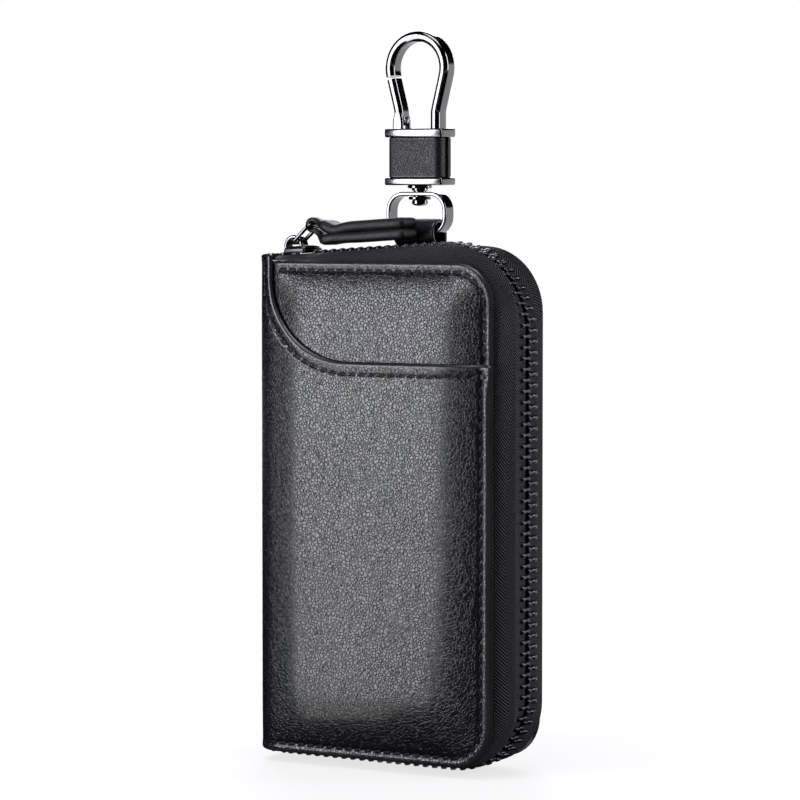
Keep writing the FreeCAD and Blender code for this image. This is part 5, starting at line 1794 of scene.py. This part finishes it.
class KEYCASE_OT_stage(bpy.types.Operator):
    """Set up the floor, the white surroundings, the lamps, the cards and the camera"""
    bl_idname = "keycase.stage"
    bl_label = "Studio"

    def execute(self, context):
        studio = in_mm(context.scene.key_case.studio)
        context.scene.view_settings.view_transform = "Standard"
        middle, right, back = studio_frame(studio)
        self.surroundings(context.scene)
        self.floor(context.scene.key_case.finish.floor)
        for name, settings in LAMPS.items():
            add_lamp(name, middle, *settings)
        self.cards(middle)
        self.camera(context.scene, studio, middle, right, back)
        return {"FINISHED"}

    def surroundings(self, scene):
        """A soft light from all sides that is seen as white."""
        world = bpy.data.worlds.new("studio")
        world.use_nodes = True
        tree = world.node_tree
        tree.nodes.clear()
        soft = node(tree, "Background", {"Color": opaque(WHITE), "Strength": SOFT_LIGHT})
        white = node(tree, "Background", {"Color": opaque(WHITE), "Strength": 1.0})
        blend = node(tree, "MixShader", {0: seen_directly(tree), 1: soft.outputs[0], 2: white.outputs[0]})
        node(tree, "OutputWorld", {"Surface": blend.outputs[0]})
        scene.world = world

    def floor(self, rgb):
        """A pale floor that keeps the shadow near the case and is white farther out."""
        half, z = FLOOR_HALF * MM, CAD_BOX[0].z - FLOOR_GAP * MM
        points = [(-half, -half, z), (half, -half, z), (half, half, z), (-half, half, z)]
        mesh = bpy.data.meshes.new("floor")
        mesh.from_pydata(points, [], [(0, 1, 2, 3)])
        material, tree, shader = new_material("floor", {"Base Color": opaque(rgb), "Roughness": 0.6,
                                                        "Specular IOR Level": 0.2})
        glow = node(tree, "Emission", {"Color": opaque(WHITE), "Strength": 1.0})
        away = node(tree, "VectorMath", {0: node(tree, "TexCoord").outputs["Object"]}, operation="LENGTH")
        paler = map_range(tree, away.outputs["Value"], *GLOW_RUN, *GLOW_SHARES)
        mostly = times(tree, seen_directly(tree), paler)
        blend = node(tree, "MixShader", {0: mostly, 1: shader.outputs[0], 2: glow.outputs[0]})
        tree.links.new(blend.outputs[0], tree.nodes["Material Output"].inputs["Surface"])
        mesh.materials.append(material)
        floor = new_object("floor", mesh)
        floor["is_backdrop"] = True

    def cards(self, middle):
        """A dark tent over the case, open low at the back, and a dark and two glowing sheets on the floor; the
        glowing ones paint a reflection.
        """
        black = new_material("card", {"Base Color": opaque(CARD_BLACK), "Specular IOR Level": 0.0})[0]
        points = [around(middle, turn, rise, TENT) for turn in TENT_TURNS for rise in TENT_RISES]
        wide = len(TENT_RISES)
        faces = [(wide * k + r, wide * k + r + 1, wide * (k + 1) + r + 1, wide * (k + 1) + r)
                 for k, turn in enumerate(TENT_TURNS[:-1]) for r in range(wide - 1)
                 if r > 0 or turn < TENT_OPEN]
        add_card("tent", points, faces, black)
        dark_turns = [turn for turn in TENT_TURNS if turn < TENT_OPEN + TENT_STEP]
        add_floor_card("floor_card", middle, dark_turns, SHEET_REACH, SHEET_RISE, black)
        # Glowing sheets, no lamps, that show only in reflections: a painted reflection on the case's lower
        # front
        for name, (reach, strength) in GLOW_CARDS.items():
            bright = new_material(name, {"Base Color": (0.0, 0.0, 0.0, 1.0), "Emission Color": opaque(WHITE),
                                         "Emission Strength": strength})[0]
            add_floor_card(name, middle, GLOW_CARD_TURNS, reach, GLOW_CARD_RISE, bright)

    def camera(self, scene, studio, middle, right, back):
        """The camera, a little higher than the top of the case and looking slightly down."""
        data = bpy.data.cameras.new("camera")
        data.lens, data.sensor_width = studio.lens, SENSOR
        data.clip_start, data.clip_end = CLIP
        spot = middle + right * studio.aside + back * studio.distance
        spot.z = CASE.z + studio.above_top
        look = -back * math.cos(studio.pitch) - Vector((0, 0, math.sin(studio.pitch)))
        scene.camera = new_object("camera", data)
        aim(scene.camera, spot, look)


# The add-on


STEPS = (KEYCASE_OT_front, KEYCASE_OT_back, KEYCASE_OT_spine, KEYCASE_OT_zip, KEYCASE_OT_slider,
         KEYCASE_OT_strap, KEYCASE_OT_swivel, KEYCASE_OT_hook, KEYCASE_OT_keys, KEYCASE_OT_stage)


class KEYCASE_PT_sidebar(bpy.types.Panel):
    """Settings and steps of the key case"""
    bl_idname = "KEYCASE_PT_sidebar"
    bl_label = "Key case"
    bl_space_type = "VIEW_3D"
    bl_region_type = "UI"
    bl_category = "Key case"

    def draw(self, context):
        for step in STEPS:
            self.layout.operator(step.bl_idname)
        for part in ("leather", "stitch", "zip", "pull", "hook", "finish", "studio"):
            group = getattr(context.scene.key_case, part)
            box = self.layout.box()
            box.label(text=part.capitalize())
            for item in own_properties(group):
                box.prop(group, item.identifier)


CLASSES = (LeatherSizes, StitchSizes, ZipSizes, PullSizes, HookSizes, Finishes, Studio, KeyCase, *STEPS,
           KEYCASE_PT_sidebar)


def register():
    for made in CLASSES:
        bpy.utils.register_class(made)
    bpy.types.Scene.key_case = bpy.props.PointerProperty(type=KeyCase)


def unregister():
    del bpy.types.Scene.key_case
    for made in reversed(CLASSES):
        bpy.utils.unregister_class(made)


def main():
    register()
    for step in STEPS:
        group, name = step.bl_idname.split(".")
        getattr(getattr(bpy.ops, group), name)()


if __name__ == "__main__":
    main()
